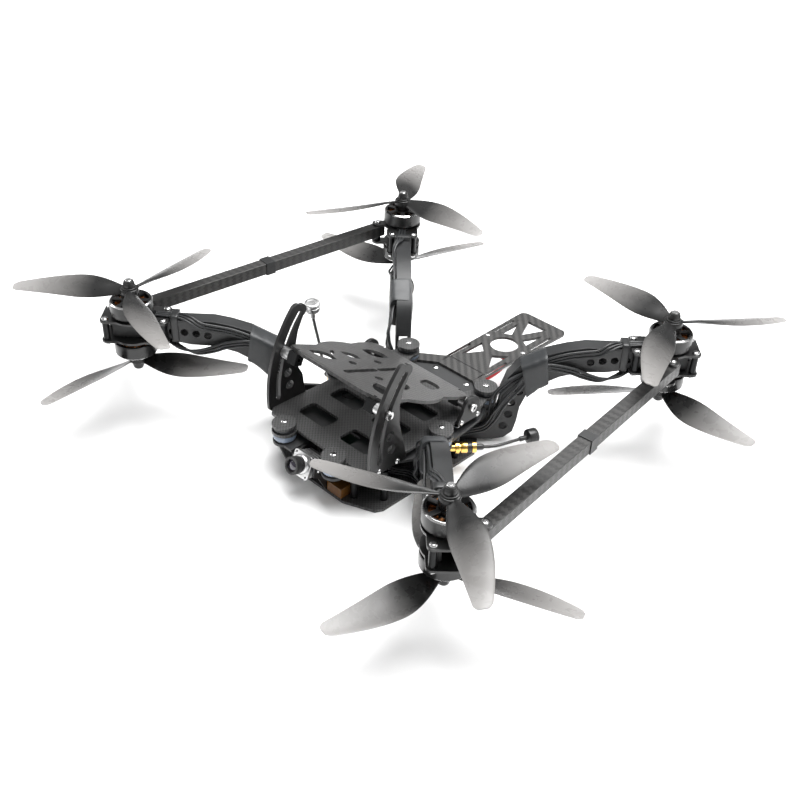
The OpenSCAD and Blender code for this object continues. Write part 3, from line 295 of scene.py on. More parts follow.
class Build:
    """Collects vertices and faces of one piece, each face with its material's place in the list."""

    def __init__(self):
        self.points, self.faces, self.kinds, self.names = [], [], [], []

    def kind(self, name):
        if name not in self.names:
            self.names.append(name)
        return self.names.index(name)

    def add(self, points, faces, name, at=None):
        start = len(self.points)
        self.points += [at @ Vector(p) if at else Vector(p) for p in points]
        self.faces += [[start + i for i in f] for f in faces]
        self.kinds += [self.kind(name)] * len(faces)

    def rings(self, rings, name, at=None, closed=False, caps=True):
        """Joins rings of equal length by quads; closed joins the last ring to the first."""
        n, count = len(rings[0]), len(rings)
        faces = [[i * n + k, i * n + (k + 1) % n, (i + 1) % count * n + (k + 1) % n, (i + 1) % count * n + k]
                 for i in range(count if closed else count - 1) for k in range(n)]
        if caps and not closed:
            faces += [list(range(n - 1, -1, -1)), [(count - 1) * n + k for k in range(n)]]
        self.add([p for ring in rings for p in ring], faces, name, at)

    def lathe(self, profile, name, at=None, sides=48, closed=False):
        """Turns (radius, height) pairs round Z; the pairs run from the top centre down the outside."""
        self.rings([ring_points(r, z, sides) for r, z in reversed(profile)], name, at, closed)

    def sweep(self, path, radius, name, sides=10, at=None, caps=True):
        """A round tube; radius is one value or one for each point."""
        rings, side = [], None
        for i, p in enumerate(path):
            t = (path[min(i + 1, len(path) - 1)] - path[max(i - 1, 0)]).normalized()
            if side is None:
                side = t.cross(UP if abs(t.z) < 0.9 else X_AXIS).normalized()
            side = (side - t * side.dot(t)).normalized()
            over = side.cross(t)
            r = radius[i] if isinstance(radius, list) else radius
            rings.append([p + (side * math.cos(a) + over * math.sin(a)) * r
                          for a in (2 * math.pi * k / sides for k in range(sides))])
        self.rings(rings, name, at, caps=caps)

    def piece(self, name, body, *replaced, slot=None, sharp=40, at=None, mesh=None):
        """Makes the object, rides it on its body and hides the CAD nodes it stands for."""
        if mesh is None:
            mesh = bpy.data.meshes.new(name)
            mesh.from_pydata(self.points, [], self.faces)
            mesh.polygons.foreach_set("material_index", self.kinds)
            for kind in self.names:
                mesh.materials.append(MAT[kind])
            mesh.validate()
            mesh.polygons.foreach_set("use_smooth", [True] * len(mesh.polygons))
            mesh.set_sharp_from_angle(angle=math.radians(sharp))
        made = bpy.data.objects.new(name, mesh)
        bpy.context.scene.collection.objects.link(made)
        if at is not None:
            made.matrix_world = at
        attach(made, body)
        if replaced:
            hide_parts(*replaced)
        return made


def rounded(r, h, z0=0.0, edge=0.3, inner=0.0):
    """Profile of a disc with rounded edges, from its top centre down to its underside."""
    bow = [(r - edge + edge * math.sin(a), z0 + h - edge + edge * math.cos(a)) for a in (0, 0.52, 1.05, 1.57)]
    low = [(r - edge + edge * math.sin(a), z0 + edge + edge * math.cos(a)) for a in (1.57, 2.09, 2.62, 3.14)]
    return [(max(inner, 0.01), z0 + h)] + bow + low + [(max(inner, 0.01), z0)]


def aim(place, direction):
    """A frame at place whose Z runs along direction."""
    return Matrix.Translation(Vector(place)) @ Vector(direction).to_track_quat("Z", "Y").to_matrix().to_4x4()


def spline(points, per):
    """Catmull-Rom curve through points, per steps between each two."""
    out = []
    for i in range(len(points) - 1):
        a, b, c, d = (points[max(i - 1, 0)], points[i], points[i + 1], points[min(i + 2, len(points) - 1)])
        for k in range(per):
            t = k / per
            out.append(0.5 * (2 * b + (c - a) * t + (2 * a - 5 * b + 4 * c - d) * t * t
                              + (3 * b - a - 3 * c + d) * t ** 3))
    return out + [points[-1]]


def cut_plate(build, outlines, name, z0, z1, edge=0.2, at=None):
    """Adds a flat plate with holes and rounded edges, from outlines of (x, y) in millimetres."""
    curve = bpy.data.curves.new("cut", "CURVE")
    curve.dimensions, curve.fill_mode = "2D", "BOTH"
    curve.extrude, curve.bevel_depth = ((z1 - z0) / 2 - edge) * MM, edge * MM
    curve.bevel_resolution, curve.offset = 1, -edge * MM
    for outline in outlines:
        line = curve.splines.new("POLY")
        line.points.add(len(outline) - 1)
        for point, (x, y) in zip(line.points, outline):
            point.co = (x * MM, y * MM, 0, 1)
        line.use_cyclic_u = True
    holder = bpy.data.objects.new("cut", curve)
    bpy.context.scene.collection.objects.link(holder)
    mesh = bpy.data.meshes.new_from_object(holder.evaluated_get(bpy.context.evaluated_depsgraph_get()))
    lift = Matrix.Translation((0, 0, (z0 + z1) / 2 * MM))
    build.add([v.co for v in mesh.vertices], [list(p.vertices) for p in mesh.polygons], name,
              at @ lift if at else lift)
    bpy.data.objects.remove(holder)
    bpy.data.curves.remove(curve)
    bpy.data.meshes.remove(mesh)


def circle(r, n=48, x=0.0, y=0.0, start=0.0):
    return [(x + r * math.cos(start + 2 * math.pi * k / n), y + r * math.sin(start + 2 * math.pi * k / n))
            for k in range(n)]


def button_screw(build, at, head=2.6, height=1.7, socket=1.15, name="steel"):
    """A domed screw head with a hex socket, seated on Z = 0 of its frame."""
    dome = [(head * math.cos(a), height * (0.25 + 0.75 * math.sin(a))) for a in (0, 0.35, 0.7, 1.0)]
    rim = [(socket * 1.25, height)]
    build.lathe(rim + list(reversed(dome)) + [(head, 0), (0.01, 0)], name, at, 24)
    hexa = [ring_points(socket * f, z, 6) for f, z in ((0.95, height * 0.45), (1.0, height + 0.02))]
    ring = ring_points(socket * 1.25, height + 0.02, 6)
    build.add(hexa[0] + hexa[1] + ring,
              [[0, 1, 2, 3, 4, 5]]
              + [[k, k + 6, (k + 1) % 6 + 6, (k + 1) % 6] for k in range(6)]
              + [[k + 6, k + 12, (k + 1) % 6 + 12, (k + 1) % 6 + 6] for k in range(6)], "black", at)


# ---------- CAD nodes that stay: a bevel, and the right material ----------
def keep(node, material, bevel=0.22, dissolve=True):
    """Gives a CAD node its material and a small rounded edge that catches the light."""
    o = NODES[node]
    o.data.materials.clear()
    o.data.materials.append(MAT[material])
    if "custom_normal" in o.data.attributes:
        o.data.attributes.remove(o.data.attributes["custom_normal"])
    o.data.polygons.foreach_set("use_smooth", [True] * len(o.data.polygons))
    o.data.polygons.foreach_set("material_index", [0] * len(o.data.polygons))
    weld = o.modifiers.new("weld", "WELD")
    weld.merge_threshold = 0.002 * MM
    if dissolve:
        flat = o.modifiers.new("flat", "DECIMATE")
        flat.decimate_type, flat.angle_limit = "DISSOLVE", math.radians(1)
    edge = o.modifiers.new("edge", "BEVEL")
    edge.width, edge.segments, edge.limit_method = bevel * MM, 2, "ANGLE"
    edge.angle_limit, edge.use_clamp_overlap = math.radians(35), False
    edge.harden_normals = True


for node, material, bevel in [
        ("bottom_plate", "deck", 0.25), ("mid_plate", "smooth", 0.25), ("tail_plate", "tail", 0.25),
        ("deck", "deck", 0.25), ("side_fins", "fin", 0.3), ("pivot_brackets", "fin", 0.3),
        ("tilt_plate", "tilt", 0.25), ("tilt_tabs", "anodised", 0.3), ("tilt_standoffs", "silver", 0.3),
        ("front_left_arm", "arm", 0.25), ("front_right_arm", "arm", 0.25), ("rear_left_arm", "arm", 0.25),
        ("rear_right_arm", "arm", 0.25), ("arm_covers", "cover", 0.3), ("arm_spacers", "anodised", 0.15),
        ("motor_plates", "plate", 0.25), ("brace_clips", "tape", 0.2), ("motor_bases", "anodised", 0.15),
        ("motor_bearings", "steel", 0.1), ("stator_cores", "core", 0.08),
        ("frame_standoffs", "anodised", 0.15),
        ("damper_washers", "deck", 0.3), ("fpv_bracket", "black", 0.25), ("flight_controller", "board", 0.1),
        ("speed_controllers", "board", 0.1), ("video_transmitter", "anodised", 0.15),
        ("radio_receiver", "amber", 0.5)]:
    keep(node, material, bevel, node != "tail_plate")

# ---------- Places taken from the frame ----------
ROTORS = {j["child"]: Vector(j["pos_m"]) for j in frame["joints"] if j["name"].endswith("_spin")}
PODS = {name.replace("_upper_rotor", ""): Vector((p.x, p.y, 0)) for name, p in ROTORS.items()
        if name.endswith("_upper_rotor")}
pod_low, pod_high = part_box("motor_plates")
TOP_PLATE, LOW_PLATE = pod_high.z, pod_low.z
ARM_W = 12.6
ROOTS = {"front": Vector((39, -14, 0)) * MM, "rear": Vector((16, 14, 0)) * MM}


class Arm:
    """One arm's own directions: inward along it, and out to the side that faces the front."""

    def __init__(self, pod):
        self.pod = PODS[pod]
        self.rear = pod.startswith("rear")
        root = ROOTS["rear" if self.rear else "front"].copy()
        root.x *= math.copysign(1, self.pod.x)
        self.length = (root - self.pod).length / MM
        self.inward = (root - self.pod).normalized()
        self.side = self.inward.cross(UP)
        if self.side.y > 0:
            self.side = -self.side

    def at(self, inward, side, z):
        """A point in millimetres: distance in from the rotor axis, to the front-facing side, and height."""
        return self.pod + self.inward * inward * MM + self.side * side * MM + UP * z * MM


ARMS = {pod: Arm(pod) for pod in PODS}

# ---------- Motors: one mesh each for the can, the nut and the coils, shared by all eight ----------
BELL_R, BELL_Z, BELL_TOP = 16.4, 2.5, 13.5
HUB_Z, HUB_H = 15.7, 7.2
NUT_Z = HUB_Z + HUB_H
KNURL_R, KNURL_SIDES = 4.2, 48


def can():
    b = Build()
    r, z = BELL_R, BELL_TOP
    rim = [(r - 2.2, z), (r - 1.1, z), (r - 0.95, z - 0.05), (r - 0.02, z - 1.05), (r, z - 1.2)]
    groove = [(r, BELL_Z + 1.0), (r - 0.12, BELL_Z + 0.9), (r - 0.12, BELL_Z + 0.7), (r, BELL_Z + 0.6)]
    foot = [(r, BELL_Z + 0.3), (r - 0.3, BELL_Z), (r - 1.3, BELL_Z), (r - 1.5, BELL_Z + 0.2)]
    inner_wall = [(r - 1.5, z - 1.6), (r - 2.4, z - 1.6), (r - 2.4, z - 0.2)]
    b.lathe(rim + groove + foot + inner_wall, "can", sides=72, closed=True)
    b.lathe([(r - 1.15, z + 0.02), (r - 0.95, z - 0.03), (r - 0.01, z - 1.0), (r - 0.03, z - 1.15),
             (r - 0.6, z - 1.0)], "chamfer", sides=72, closed=True)
    windows = []
    for k in range(6):
        a0, a1 = math.radians(60 * k + 9), math.radians(60 * k + 51)
        outer = [(13.7 * math.cos(a0 + (a1 - a0) * i / 10), 13.7 * math.sin(a0 + (a1 - a0) * i / 10))
                 for i in range(11)]
        b0, b1 = math.radians(60 * k + 15), math.radians(60 * k + 45)
        inner = [(7.0 * math.cos(b1 + (b0 - b1) * i / 5), 7.0 * math.sin(b1 + (b0 - b1) * i / 5))
                 for i in range(6)]
        windows.append(outer + inner)
    cut_plate(b, [circle(14.6, 60)] + windows, "can", BELL_TOP - 1.9, BELL_TOP - 0.3, 0.25)
    b.lathe([(0.01, HUB_Z), (5.2, HUB_Z), (6.0, HUB_Z - 0.5), (6.0, BELL_TOP - 1.0), (0.01, BELL_TOP - 1.0)],
            "can", sides=40)
    b.lathe(rounded(2.5, 29.9 - 1.1, 1.1, 0.4), "steel", sides=24)
    for k in range(14):
        turn = Matrix.Rotation(2 * math.pi * k / 14, 4, "Z")
        r0, r1, half, z0, z1 = 13.75, 14.85, 2.45, BELL_Z + 0.5, BELL_Z + 7.6
        arc = [(r1 * math.cos(a / r1), r1 * math.sin(a / r1)) for a in (-half, -half / 2, 0, half / 2, half)]
        arc += [(r0 * math.cos(a / r1), r0 * math.sin(a / r1)) for a in (half, half / 2, 0, -half / 2, -half)]
        b.rings([[(x * MM, y * MM, z * MM) for x, y in arc] for z in (z0, z1)], "magnet", turn)
    return b


def nut():
    b = Build()
    b.lathe(rounded(5.6, 1.2, NUT_Z, 0.35, 2.6), "black", sides=40)
    knurl = []
    for z, grow in ((NUT_Z + 1.2, 0), (NUT_Z + 1.3, 0.12), (NUT_Z + 4.2, 0.12), (NUT_Z + 4.6, -0.15)):
        crest = ring_points(KNURL_R + 0.10 + grow, z, KNURL_SIDES)
        root = ring_points(KNURL_R - 0.05 + grow, z, KNURL_SIDES)
        knurl.append([(crest if k % 2 else root)[k] for k in range(KNURL_SIDES)])
    b.rings(knurl, "black")
    b.lathe([(2.55, NUT_Z + 6.2), (3.4, NUT_Z + 6.2), (3.8, NUT_Z + 5.8), (3.95, NUT_Z + 4.7),
             (3.95, NUT_Z + 4.5), (2.55, NUT_Z + 4.5)], "black", sides=36, closed=True)
    b.lathe([(1.3, 30.0), (2.3, 30.0), (2.6, 29.7), (2.6, NUT_Z + 4.0), (1.3, NUT_Z + 4.0)], "steel",
            sides=24, closed=True)
    b.lathe([(0.01, 29.2), (1.31, 29.2), (1.31, 28.8), (0.01, 28.8)], "black", sides=6)
    return b


def coils():
    """Twelve wound coils round the stator's teeth, each a stack of turns along its tooth."""
    b = Build()
    turns, r0, r1, z_mid = 8, 8.1, 12.3, 6.9
    for k in range(12):
        turn = Matrix.Rotation(2 * math.pi * k / 12, 4, "Z")
        rings = []
        for i in range(2 * turns + 1):
            share = i / (2 * turns)
            r = r0 + (r1 - r0) * share
            bulge = 0.13 if i % 2 else -0.08
            half_w = 1.55 + 0.95 * share + bulge
            half_h = 3.65 + bulge
            ring = []
            for a in range(12):
                c, s = math.cos(2 * math.pi * a / 12), math.sin(2 * math.pi * a / 12)
                y = math.copysign(abs(c) ** 0.6, c) * half_w
                z = math.copysign(abs(s) ** 0.45, s) * half_h + z_mid
                ring.append((r * MM, y * MM, z * MM))
            rings.append(ring)
        b.rings(rings, "copper", turn)
    return b


# ---------- Propellers ----------
PROP_R, BLADE_R0 = 89.0, 5.8
TURN = {"front_left_upper": 205, "front_left_lower": 22, "front_right_upper": 221, "front_right_lower": 35,
        "rear_left_upper": 172, "rear_left_lower": 111, "rear_right_upper": 244, "rear_right_lower": 73}
HAND = {"front_left": 1, "front_right": -1, "rear_left": -1, "rear_right": 1}


def section(f, hand):
    """Points round a blade's section at share f of its length, in millimetres from the rotor axis."""
    chord = 8 + 15.5 * math.sin(math.pi / 2 * f / 0.4) if f < 0.4 else 23.5 - 13.5 * ((f - 0.4) / 0.6) ** 1.5
    tip = max(0.0, (f - 0.955) / 0.045)
    chord *= 1 - 0.42 * tip * tip
    r = BLADE_R0 + f * (PROP_R - BLADE_R0)
    sweep = 3.4 * math.sin(math.pi * f) - 1.5 * f
    pitch = math.radians(30 - 22 * f ** 0.75)
    thick = 2.6 - 1.75 * f ** 0.6
    camber = 0.055 * chord * min(1.0, f / 0.15)
    n, ring = 11, []
    for i in range(2 * n):
        top = i < n
        u = -math.cos(math.pi * (i if top else 2 * n - i) / n) * 0.5
        full = (1 - (2 * u) ** 2) ** 0.5
        nose = 1 + 0.35 * (2 * u)
        v = thick * (0.5 * full * nose if top else -0.42 * full * nose) + camber * (1 - (2 * u) ** 2)
        y = sweep + u * chord * math.cos(pitch) - v * math.sin(pitch)
        z = u * chord * math.sin(pitch) + v * math.cos(pitch) - 1.9 * f * f
        ring.append((r * MM, hand * y * MM, z * MM))
    return ring


def prop(hand, lower):
    b = Build()
    mid = HUB_Z + 5.2
    middle = [0.11 + 0.84 * i / 22 for i in range(23)]
    steps = [0, 0.02, 0.045, 0.075] + middle + [0.965, 0.98, 0.99, 0.997, 1]
    rings = [section(f, hand) for f in steps]
    lift = Matrix.Translation((0, 0, mid * MM))
    for k in range(3):
        b.rings(rings, "smoke", lift @ Matrix.Rotation(k * 2 * math.pi / 3, 4, "Z"))
    b.lathe([(2.6, NUT_Z), (6.3, NUT_Z), (6.75, NUT_Z - 0.2), (7, NUT_Z - 0.6), (7, HUB_Z + 0.4),
             (6.7, HUB_Z), (2.6, HUB_Z)], "smoke", sides=48, closed=True)
    if lower:
        b.points = [Vector((p[0], p[1], -p[2])) for p in b.points]
        b.faces = [f[::-1] for f in b.faces]
    return b


def outward(mesh):
    """Turns every face of a closed mesh outwards."""
    work = bmesh.new()
    work.from_mesh(mesh)
    bmesh.ops.recalc_face_normals(work, faces=work.faces)
    work.to_mesh(mesh)
    work.free()


shared = {}
for rotor, joint_at in sorted(ROTORS.items()):
    name = rotor.replace("_rotor", "")
    pod, lower = name.rsplit("_", 1)[0], name.endswith("lower")
    base = Matrix.Translation((joint_at.x, joint_at.y, LOW_PLATE if lower else TOP_PLATE))
    inward = ARMS[pod].inward
    facing = Matrix.Rotation(math.atan2(inward.y, inward.x), 4, "Z")
    for part, make, body, node, slot_name in (("can", can, rotor, f"{name}_bell", "anodised_black"),
                                              ("nut", nut, rotor, None, "anodised_black"),
                                              ("coils", coils, ROOT, None, "copper")):
        key = (part, lower)
        if key not in shared:
            b = make()
            if lower:
                b.points = [Vector((p[0], p[1], -p[2])) for p in b.points]
                b.faces = [f[::-1] for f in b.faces]
            made = b.piece(f"{name}_{part}", body, *([node] if node else []), slot=slot_name,
                           at=base @ facing)
            outward(made.data)
            shared[key] = made.data
        else:
            Build().piece(f"{name}_{part}", body, *([node] if node else []), slot=slot_name,
                          at=base @ facing, mesh=shared[key])
    key = ("prop", HAND[pod], lower)
    place = base @ Matrix.Rotation(math.radians(TURN[name]), 4, "Z")
    if key not in shared:
        made = prop(HAND[pod], lower).piece(f"{name}_blades", rotor, f"{name}_propeller", slot="smoke",
                                            at=place, sharp=60)
        outward(made.data)
        shared[key] = made.data
    else:
        Build().piece(f"{name}_blades", rotor, f"{name}_propeller", slot="smoke", at=place,
                      mesh=shared[key])
# One set of coils stands for the node that holds them all
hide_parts("windings")

# ---------- Motor wires ----------
WIRE_R, WIRE_PITCH = 1.0, 2.3
SIDE_Y = ARM_W / 2 + 1.35
OUTER_Y = SIDE_Y + WIRE_PITCH
top, under = TOP_PLATE / MM, LOW_PLATE / MM
WIRE_END_Z = (6.5 + 13 + 1.6) / 2
ARM_TOP = top - 2


def wire_route(arm, low):
    """Distance in, distance to the side, height and roll of a flat ribbon of three wires."""
    n = arm.length
    y = OUTER_Y if low else SIDE_Y
    if low:
        return [(18.4, 0, under - 1.15, 180), (27, 1, under - 2.6, 180), (37, 5.5, under - 6.5, 160),
                (49, y, under - 7.1, 120), (62, y, under - 4.1, 95), (73, y, under, 90),
                (n - 83, y, 74.6, 90), (n - 71, y, 66, 90), (n - 63, y + 0.5, 56, 90),
                (n - 56, y + 2, 47, 90), (n - 51, y + 2, 38, 90), (n - 48, y + 1.2, 30, 90),
                (n - 45.5, y + 0.5, 22.5, 90), (n - 40, y, 15.5, 90)]
    return [(18.4, 0, top + 1.15, 0), (36, 2.4, top + 1.3, 8), (45, 6.4, top + 0.6, 45),
            (53, y + 0.2, ARM_TOP - 1.8, 80), (63, y, ARM_TOP - 3.6, 90), (n - 98, y, 83.2, 90),
            (n - 83, y, 77.2, 90), (n - 71, y, 67.5, 90), (n - 63, y + 0.5, 62.5, 90),
            (n - 55, y + 2.5, 58, 90), (n - 48.5, y + 4, 51, 90), (n - 46.5, y + 2.5, 42, 90),
            (n - 46, y + 0.5, 33, 90), (n - 45, y + 0.2, 23, 90), (n - 40, y, 15.5, 90)]


def bay_route(arm):
    x = math.copysign(1, arm.pod.x)
    z = WIRE_END_Z
    if arm.rear:
        line = [(41, 26.5, 12), (34, 12, z), (29, -8, z), (28, -24, z), (25.5, -34, z), (20.3, -37, z)]
    else:
        line = [(50, -42, 11.5), (38, -47, z), (28, -50.5, z), (20.3, -51, z)]
    return [Vector((px * x, py, pz)) * MM for px, py, pz in line]


def wire_path(arm, low, k):
    route = wire_route(arm, low)
    mid = [arm.at(p[0], p[1], p[2]) for p in route] + bay_route(arm)
    out = []
    for i, p in enumerate(mid):
        t = (mid[min(i + 1, len(mid) - 1)] - mid[max(i - 1, 0)]).normalized()
        if i < len(route):
            a = math.radians(route[i][3])
            lay = (arm.side * math.sin(a) + UP * math.cos(a)).normalized()
        else:
            lay = UP.cross(t).normalized()
        spot = p + t.cross(lay).normalized() * k * WIRE_PITCH * MM
        if low and i >= len(route):
            spot += lay * WIRE_PITCH * MM
        if 1 < i < len(route) - 2:
            loose = 1.0 if 7 < i < 12 else 0.2
            sway = noise.noise(Vector((k * 3.1 + i * 0.9, arm.pod.x * 40, 5.0 if low else 1.0)))
            spread = noise.noise(Vector((k * 5.7 + i * 0.6, arm.pod.y * 40, 9.0 if low else 3.0)))
            spot += arm.side * (abs(sway) * loose * 4.0 * MM)
            spot += arm.inward * (spread * (loose - 0.2) * 4.5 * MM)
        out.append(spot)
    return out


wires = Build()
for pod, arm in sorted(ARMS.items()):
    for low in (False, True):
        for k in (-1, 0, 1):
            wires.sweep(spline(wire_path(arm, low, k), 4), WIRE_R * MM, "wire", 10)
wires.piece("motor_wire_bundles", ROOT, "motor_wires", slot="wire", sharp=60)

# ---------- Heat-shrink wraps and tape round arm and wires ----------
WRAP_Y = OUTER_Y + 1.35


def sleeve_ring(arm, low, high, side_lo, side_hi, seed, grow=0.0, corner=0.38):
    """One section of a wrinkled sleeve: a rounded box from a low to a high (distance in, height)."""
    cy, hy = (side_lo + side_hi) / 2, (side_hi - side_lo) / 2
    ring, count = [], 28
    tall = Vector(high) - Vector(low)
    for k in range(count):
        a = 2 * math.pi * (k + 0.5) / count
        c, s = math.cos(a), math.sin(a)
        y = cy + math.copysign(abs(c) ** corner, c) * (hy + grow)
        share = 0.5 + math.copysign(abs(s) ** corner, s) * (0.5 + grow / tall.length)
        inward, z = Vector(low) + tall * share
        wrinkle = noise.noise(Vector((low[0] * 0.35, k * 0.45 + seed, z * 0.11))) * 0.35
        away = (arm.side * c + UP * s).normalized()
        ring.append(arm.at(inward, y, z) + away * wrinkle * MM)
    return ring


def between(line, x):
    """Height on a line of (distance in, height) at x, straight between its points."""
    for (x0, y0), (x1, y1) in zip(line, line[1:]):
        if x <= x1:
            return y0 + (y1 - y0) * max(0.0, (x - x0) / (x1 - x0))
    return line[-1][1]


wraps = Build()
for seed, (pod, arm) in enumerate(sorted(ARMS.items())):
    n = arm.length
    low_line = [(n - 95, 62.6), (n - 80, 54.0), (n - 71.8, 45.2), (n - 68, 37)]
    high_line = [(n - 100, 89.2), (n - 85, 84.8), (n - 65, 74.3)]
    steps = 16
    rings = []
    for i in range(steps + 1):
        share = i / steps
        x_low, x_high = n - 87 + 15.5 * share, n - 83.5 + 19 * share
        end = -0.5 if i in (0, steps) else 0.0
        rings.append(sleeve_ring(arm, (x_low, between(low_line, x_low)), (x_high, between(high_line, x_high)),
                                 -ARM_W / 2 - 1.0, WRAP_Y + 0.7, seed * 7.0, end))
    wraps.rings(rings, "sleeve")
    band = [sleeve_ring(arm, (x, 70.3), (x, top + 3.1), -ARM_W / 2 - 0.9, ARM_W / 2 + 0.9, seed * 5.0 + 2,
                        g, 0.3)
            for x, g in ((30.0, -0.3), (30.3, 0), (32.0, 0.05), (34.0, 0.02), (35.4, 0), (35.7, -0.3))]
    wraps.rings(band, "tape")
wraps.piece("arm_wraps", ROOT, "wire_wraps", slot="sleeve", sharp=50)

# ---------- Dampers ----------
DAMPERS = [(27, -101.8), (56.3, -21.1), (42.4, 45.1)]
DECK_Z, DECK_TOP, WASHER_TOP, MID_TOP, TAIL_TOP = 38.0, 40.5, 46.5, 31.8, 34.3


def bead(r, r_in, z0, z1, waist):
    """Profile of a rubber ring with a groove or a belly half way up."""
    h = z1 - z0
    side = [(r - 0.7 + 0.7 * math.sin(a), z1 - 0.7 + 0.7 * math.cos(a)) for a in (0, 0.5, 1.0, 1.57)]
    side += [(r + waist * 0.7, z0 + h * 0.62), (r + waist, z0 + h * 0.5), (r + waist * 0.7, z0 + h * 0.38)]
    side += [(r - 0.7 + 0.7 * math.sin(a), z0 + 0.7 + 0.7 * math.cos(a)) for a in (1.57, 2.14, 2.64, 3.14)]
    return [(r_in, z1)] + side + [(r_in, z0)]


lower, upper, bolts = Build(), Build(), Build()
for i, (x, y) in enumerate(DAMPERS):
    for s in (1, -1):
        at = Matrix.Translation((s * x * MM, y * MM, 0))
        z0 = TAIL_TOP if i == 2 else MID_TOP + 1.2
        lower.lathe(bead(8.5, 1.6, z0, DECK_Z, 0.35), "ring", at, 48, closed=True)
        upper.lathe(bead(8.0, 1.6, DECK_TOP, 44.0, 0.3), "ring_dark", at, 48, closed=True)
        button_screw(bolts, at @ Matrix.Translation((0, 0, WASHER_TOP * MM)), 2.75, 1.7, 1.25)
        bolts.lathe(rounded(1.48, WASHER_TOP - 29.3, 29.3, 0.2), "steel", at, 20)
        bolts.lathe([(1.52, 31.8), (2.75, 31.8), (2.75, 29.3), (1.52, 29.3)], "steel", at, 32, closed=True)
lower.piece("damper_lower_silicone", ROOT, "damper_lower_rings", slot="silicone_ring", sharp=60)
upper.piece("damper_upper_silicone", ROOT, "damper_upper_rings", slot="silicone_dark", sharp=60)
bolts.piece("damper_bolt_heads", ROOT, "damper_bolts", slot="steel")

# ---------- Screws ----------
LUGS = [(19, 9.4), (19, -9.4), (-25, 9.4), (-25, -9.4), (-1, 22)]
pod_screws = Build()
for pod, arm in ARMS.items():
    brace_side = arm.side if arm.rear else -arm.side
    for lx, ly in LUGS:
        spot = arm.pod - arm.inward * lx * MM + brace_side * ly * MM
        button_screw(pod_screws, Matrix.Translation((spot.x, spot.y, TOP_PLATE)), 2.7, 1.8, 1.15)
        pod_screws.lathe([(0.01, TOP_PLATE / MM), (1.45, TOP_PLATE / MM), (1.45, LOW_PLATE / MM - 2.4),
                          (0.01, LOW_PLATE / MM - 2.4)], "steel", Matrix.Translation((spot.x, spot.y, 0)), 16)
        pod_screws.lathe([(1.5, under), (2.7, under), (2.8, under - 0.2), (2.8, under - 1.8),
                          (2.7, under - 2), (1.5, under - 2)], "steel",
                         Matrix.Translation((spot.x, spot.y, 0)), 6, closed=True)
pod_screws.piece("pod_button_screws", ROOT, "pod_screws", slot="steel")

frame_screws = Build()
for x, y in [(32, -86), (49, -72), (50, 4), (17, 52)]:
    for s in (1, -1):
        button_screw(frame_screws, Matrix.Translation((s * x * MM, y * MM, MID_TOP * MM)), 2.7, 1.2, 1.0)
for s in (1, -1):
    spot = Matrix.Translation((s * 19.6 * MM, 120 * MM, 0))
    button_screw(frame_screws, spot @ Matrix.Translation((0, 0, TAIL_TOP * MM)), 2.5, 1.2, 1.0)
    frame_screws.lathe(rounded(3, 11.5, 20.3, 0.4), "anodised", spot, 6)
frame_screws.piece("frame_button_screws", ROOT, "frame_screws", slot="steel")

deck_screws = Build()
for y in (-85, -67, 2, 20):
    for s in (1, -1):
        at = aim((s * 56.5 * MM, y * MM, 39.25 * MM), (s, 0, 0))
        button_screw(deck_screws, at, 2.2, 1.2, 0.8)
deck_screws.piece("deck_button_screws", "deck_unit", "deck_screws", slot="steel")

PIVOT = Vector((0, 12.5, 49)) * MM
tilt_screws = Build()
for u in (0, 97.5):
    centre = PIVOT + TILT_UP * u * MM
    for s in (1, -1):
        at = aim(centre + X_AXIS * s * 56.8 * MM, (s, 0, 0))
        tilt_screws.lathe([(0.9, 2.4), (2.9, 2.4), (3.35, 2.1), (3.5, 1.5), (3.5, 0.2), (3.3, 0), (0.9, 0)],
                          "steel", at, 32, closed=True)
        tilt_screws.lathe([(0.01, 1.2), (1.5, 1.2), (1.5, 0.3), (0.01, 0.3)], "black", at, 6)
        tilt_screws.lathe([(0.01, 0.2), (1.95, 0.2), (1.95, -3.8), (0.01, -3.8)], "steel", at, 20)
        tilt_screws.lathe([(0.01, -3.8), (1.45, -3.8), (1.45, -15.5), (0.01, -15.5)], "steel", at, 16)
tilt_screws.piece("tilt_screw_heads", "tilt_unit", "tilt_screws", slot="steel")

# ---------- First-person camera ----------
FPV_AT = Matrix.Translation(Vector((0, -103, 24)) * MM) @ Matrix.Rotation(math.radians(-21), 4, "X")
FRONT = FPV_AT @ Matrix.Translation((0, -5 * MM, 0)) @ Matrix.Rotation(math.pi / 2, 4, "X")
camera = Build()


def round_square(half, r, n=5):
    out = []
    for cx, cy, start in ((1, 1, 0), (-1, 1, 90), (-1, -1, 180), (1, -1, 270)):
        for k in range(n + 1):
            a = math.radians(start + 90 * k / n)
            out.append((cx * (half - r) + r * math.cos(a), cy * (half - r) + r * math.sin(a)))
    return out


corner_holes = [circle(0.8, 12, sx * 7.3, sz * 7.3) for sx in (1, -1) for sz in (1, -1)]
cut_plate(camera, [round_square(9.5, 2.5)] + corner_holes, "silver", -0.2, 2.0, 0.3, FRONT)
body_rings = []
for z, half in ((-0.2, 8.0), (-0.6, 8.2), (-2.4, 8.2), (-2.6, 7.7), (-3.4, 7.7), (-3.6, 8.2), (-5.4, 8.2),
                (-5.6, 7.7), (-6.4, 7.7), (-6.6, 8.2), (-8.4, 8.2), (-8.6, 7.7), (-9.4, 7.7), (-9.6, 8.2),
                (-13.4, 8.2), (-13.9, 7.7)):
    body_rings.append([(x * MM, y * MM, z * MM) for x, y in round_square(half, 1.2, 3)])
camera.rings(body_rings, "silver", FRONT)
camera.lathe([(5.1, 4.2), (6.6, 4.2), (7.0, 3.9), (7.8, 2.9), (7.8, 1.8), (5.1, 1.8)], "silver", FRONT, 48,
             closed=True)
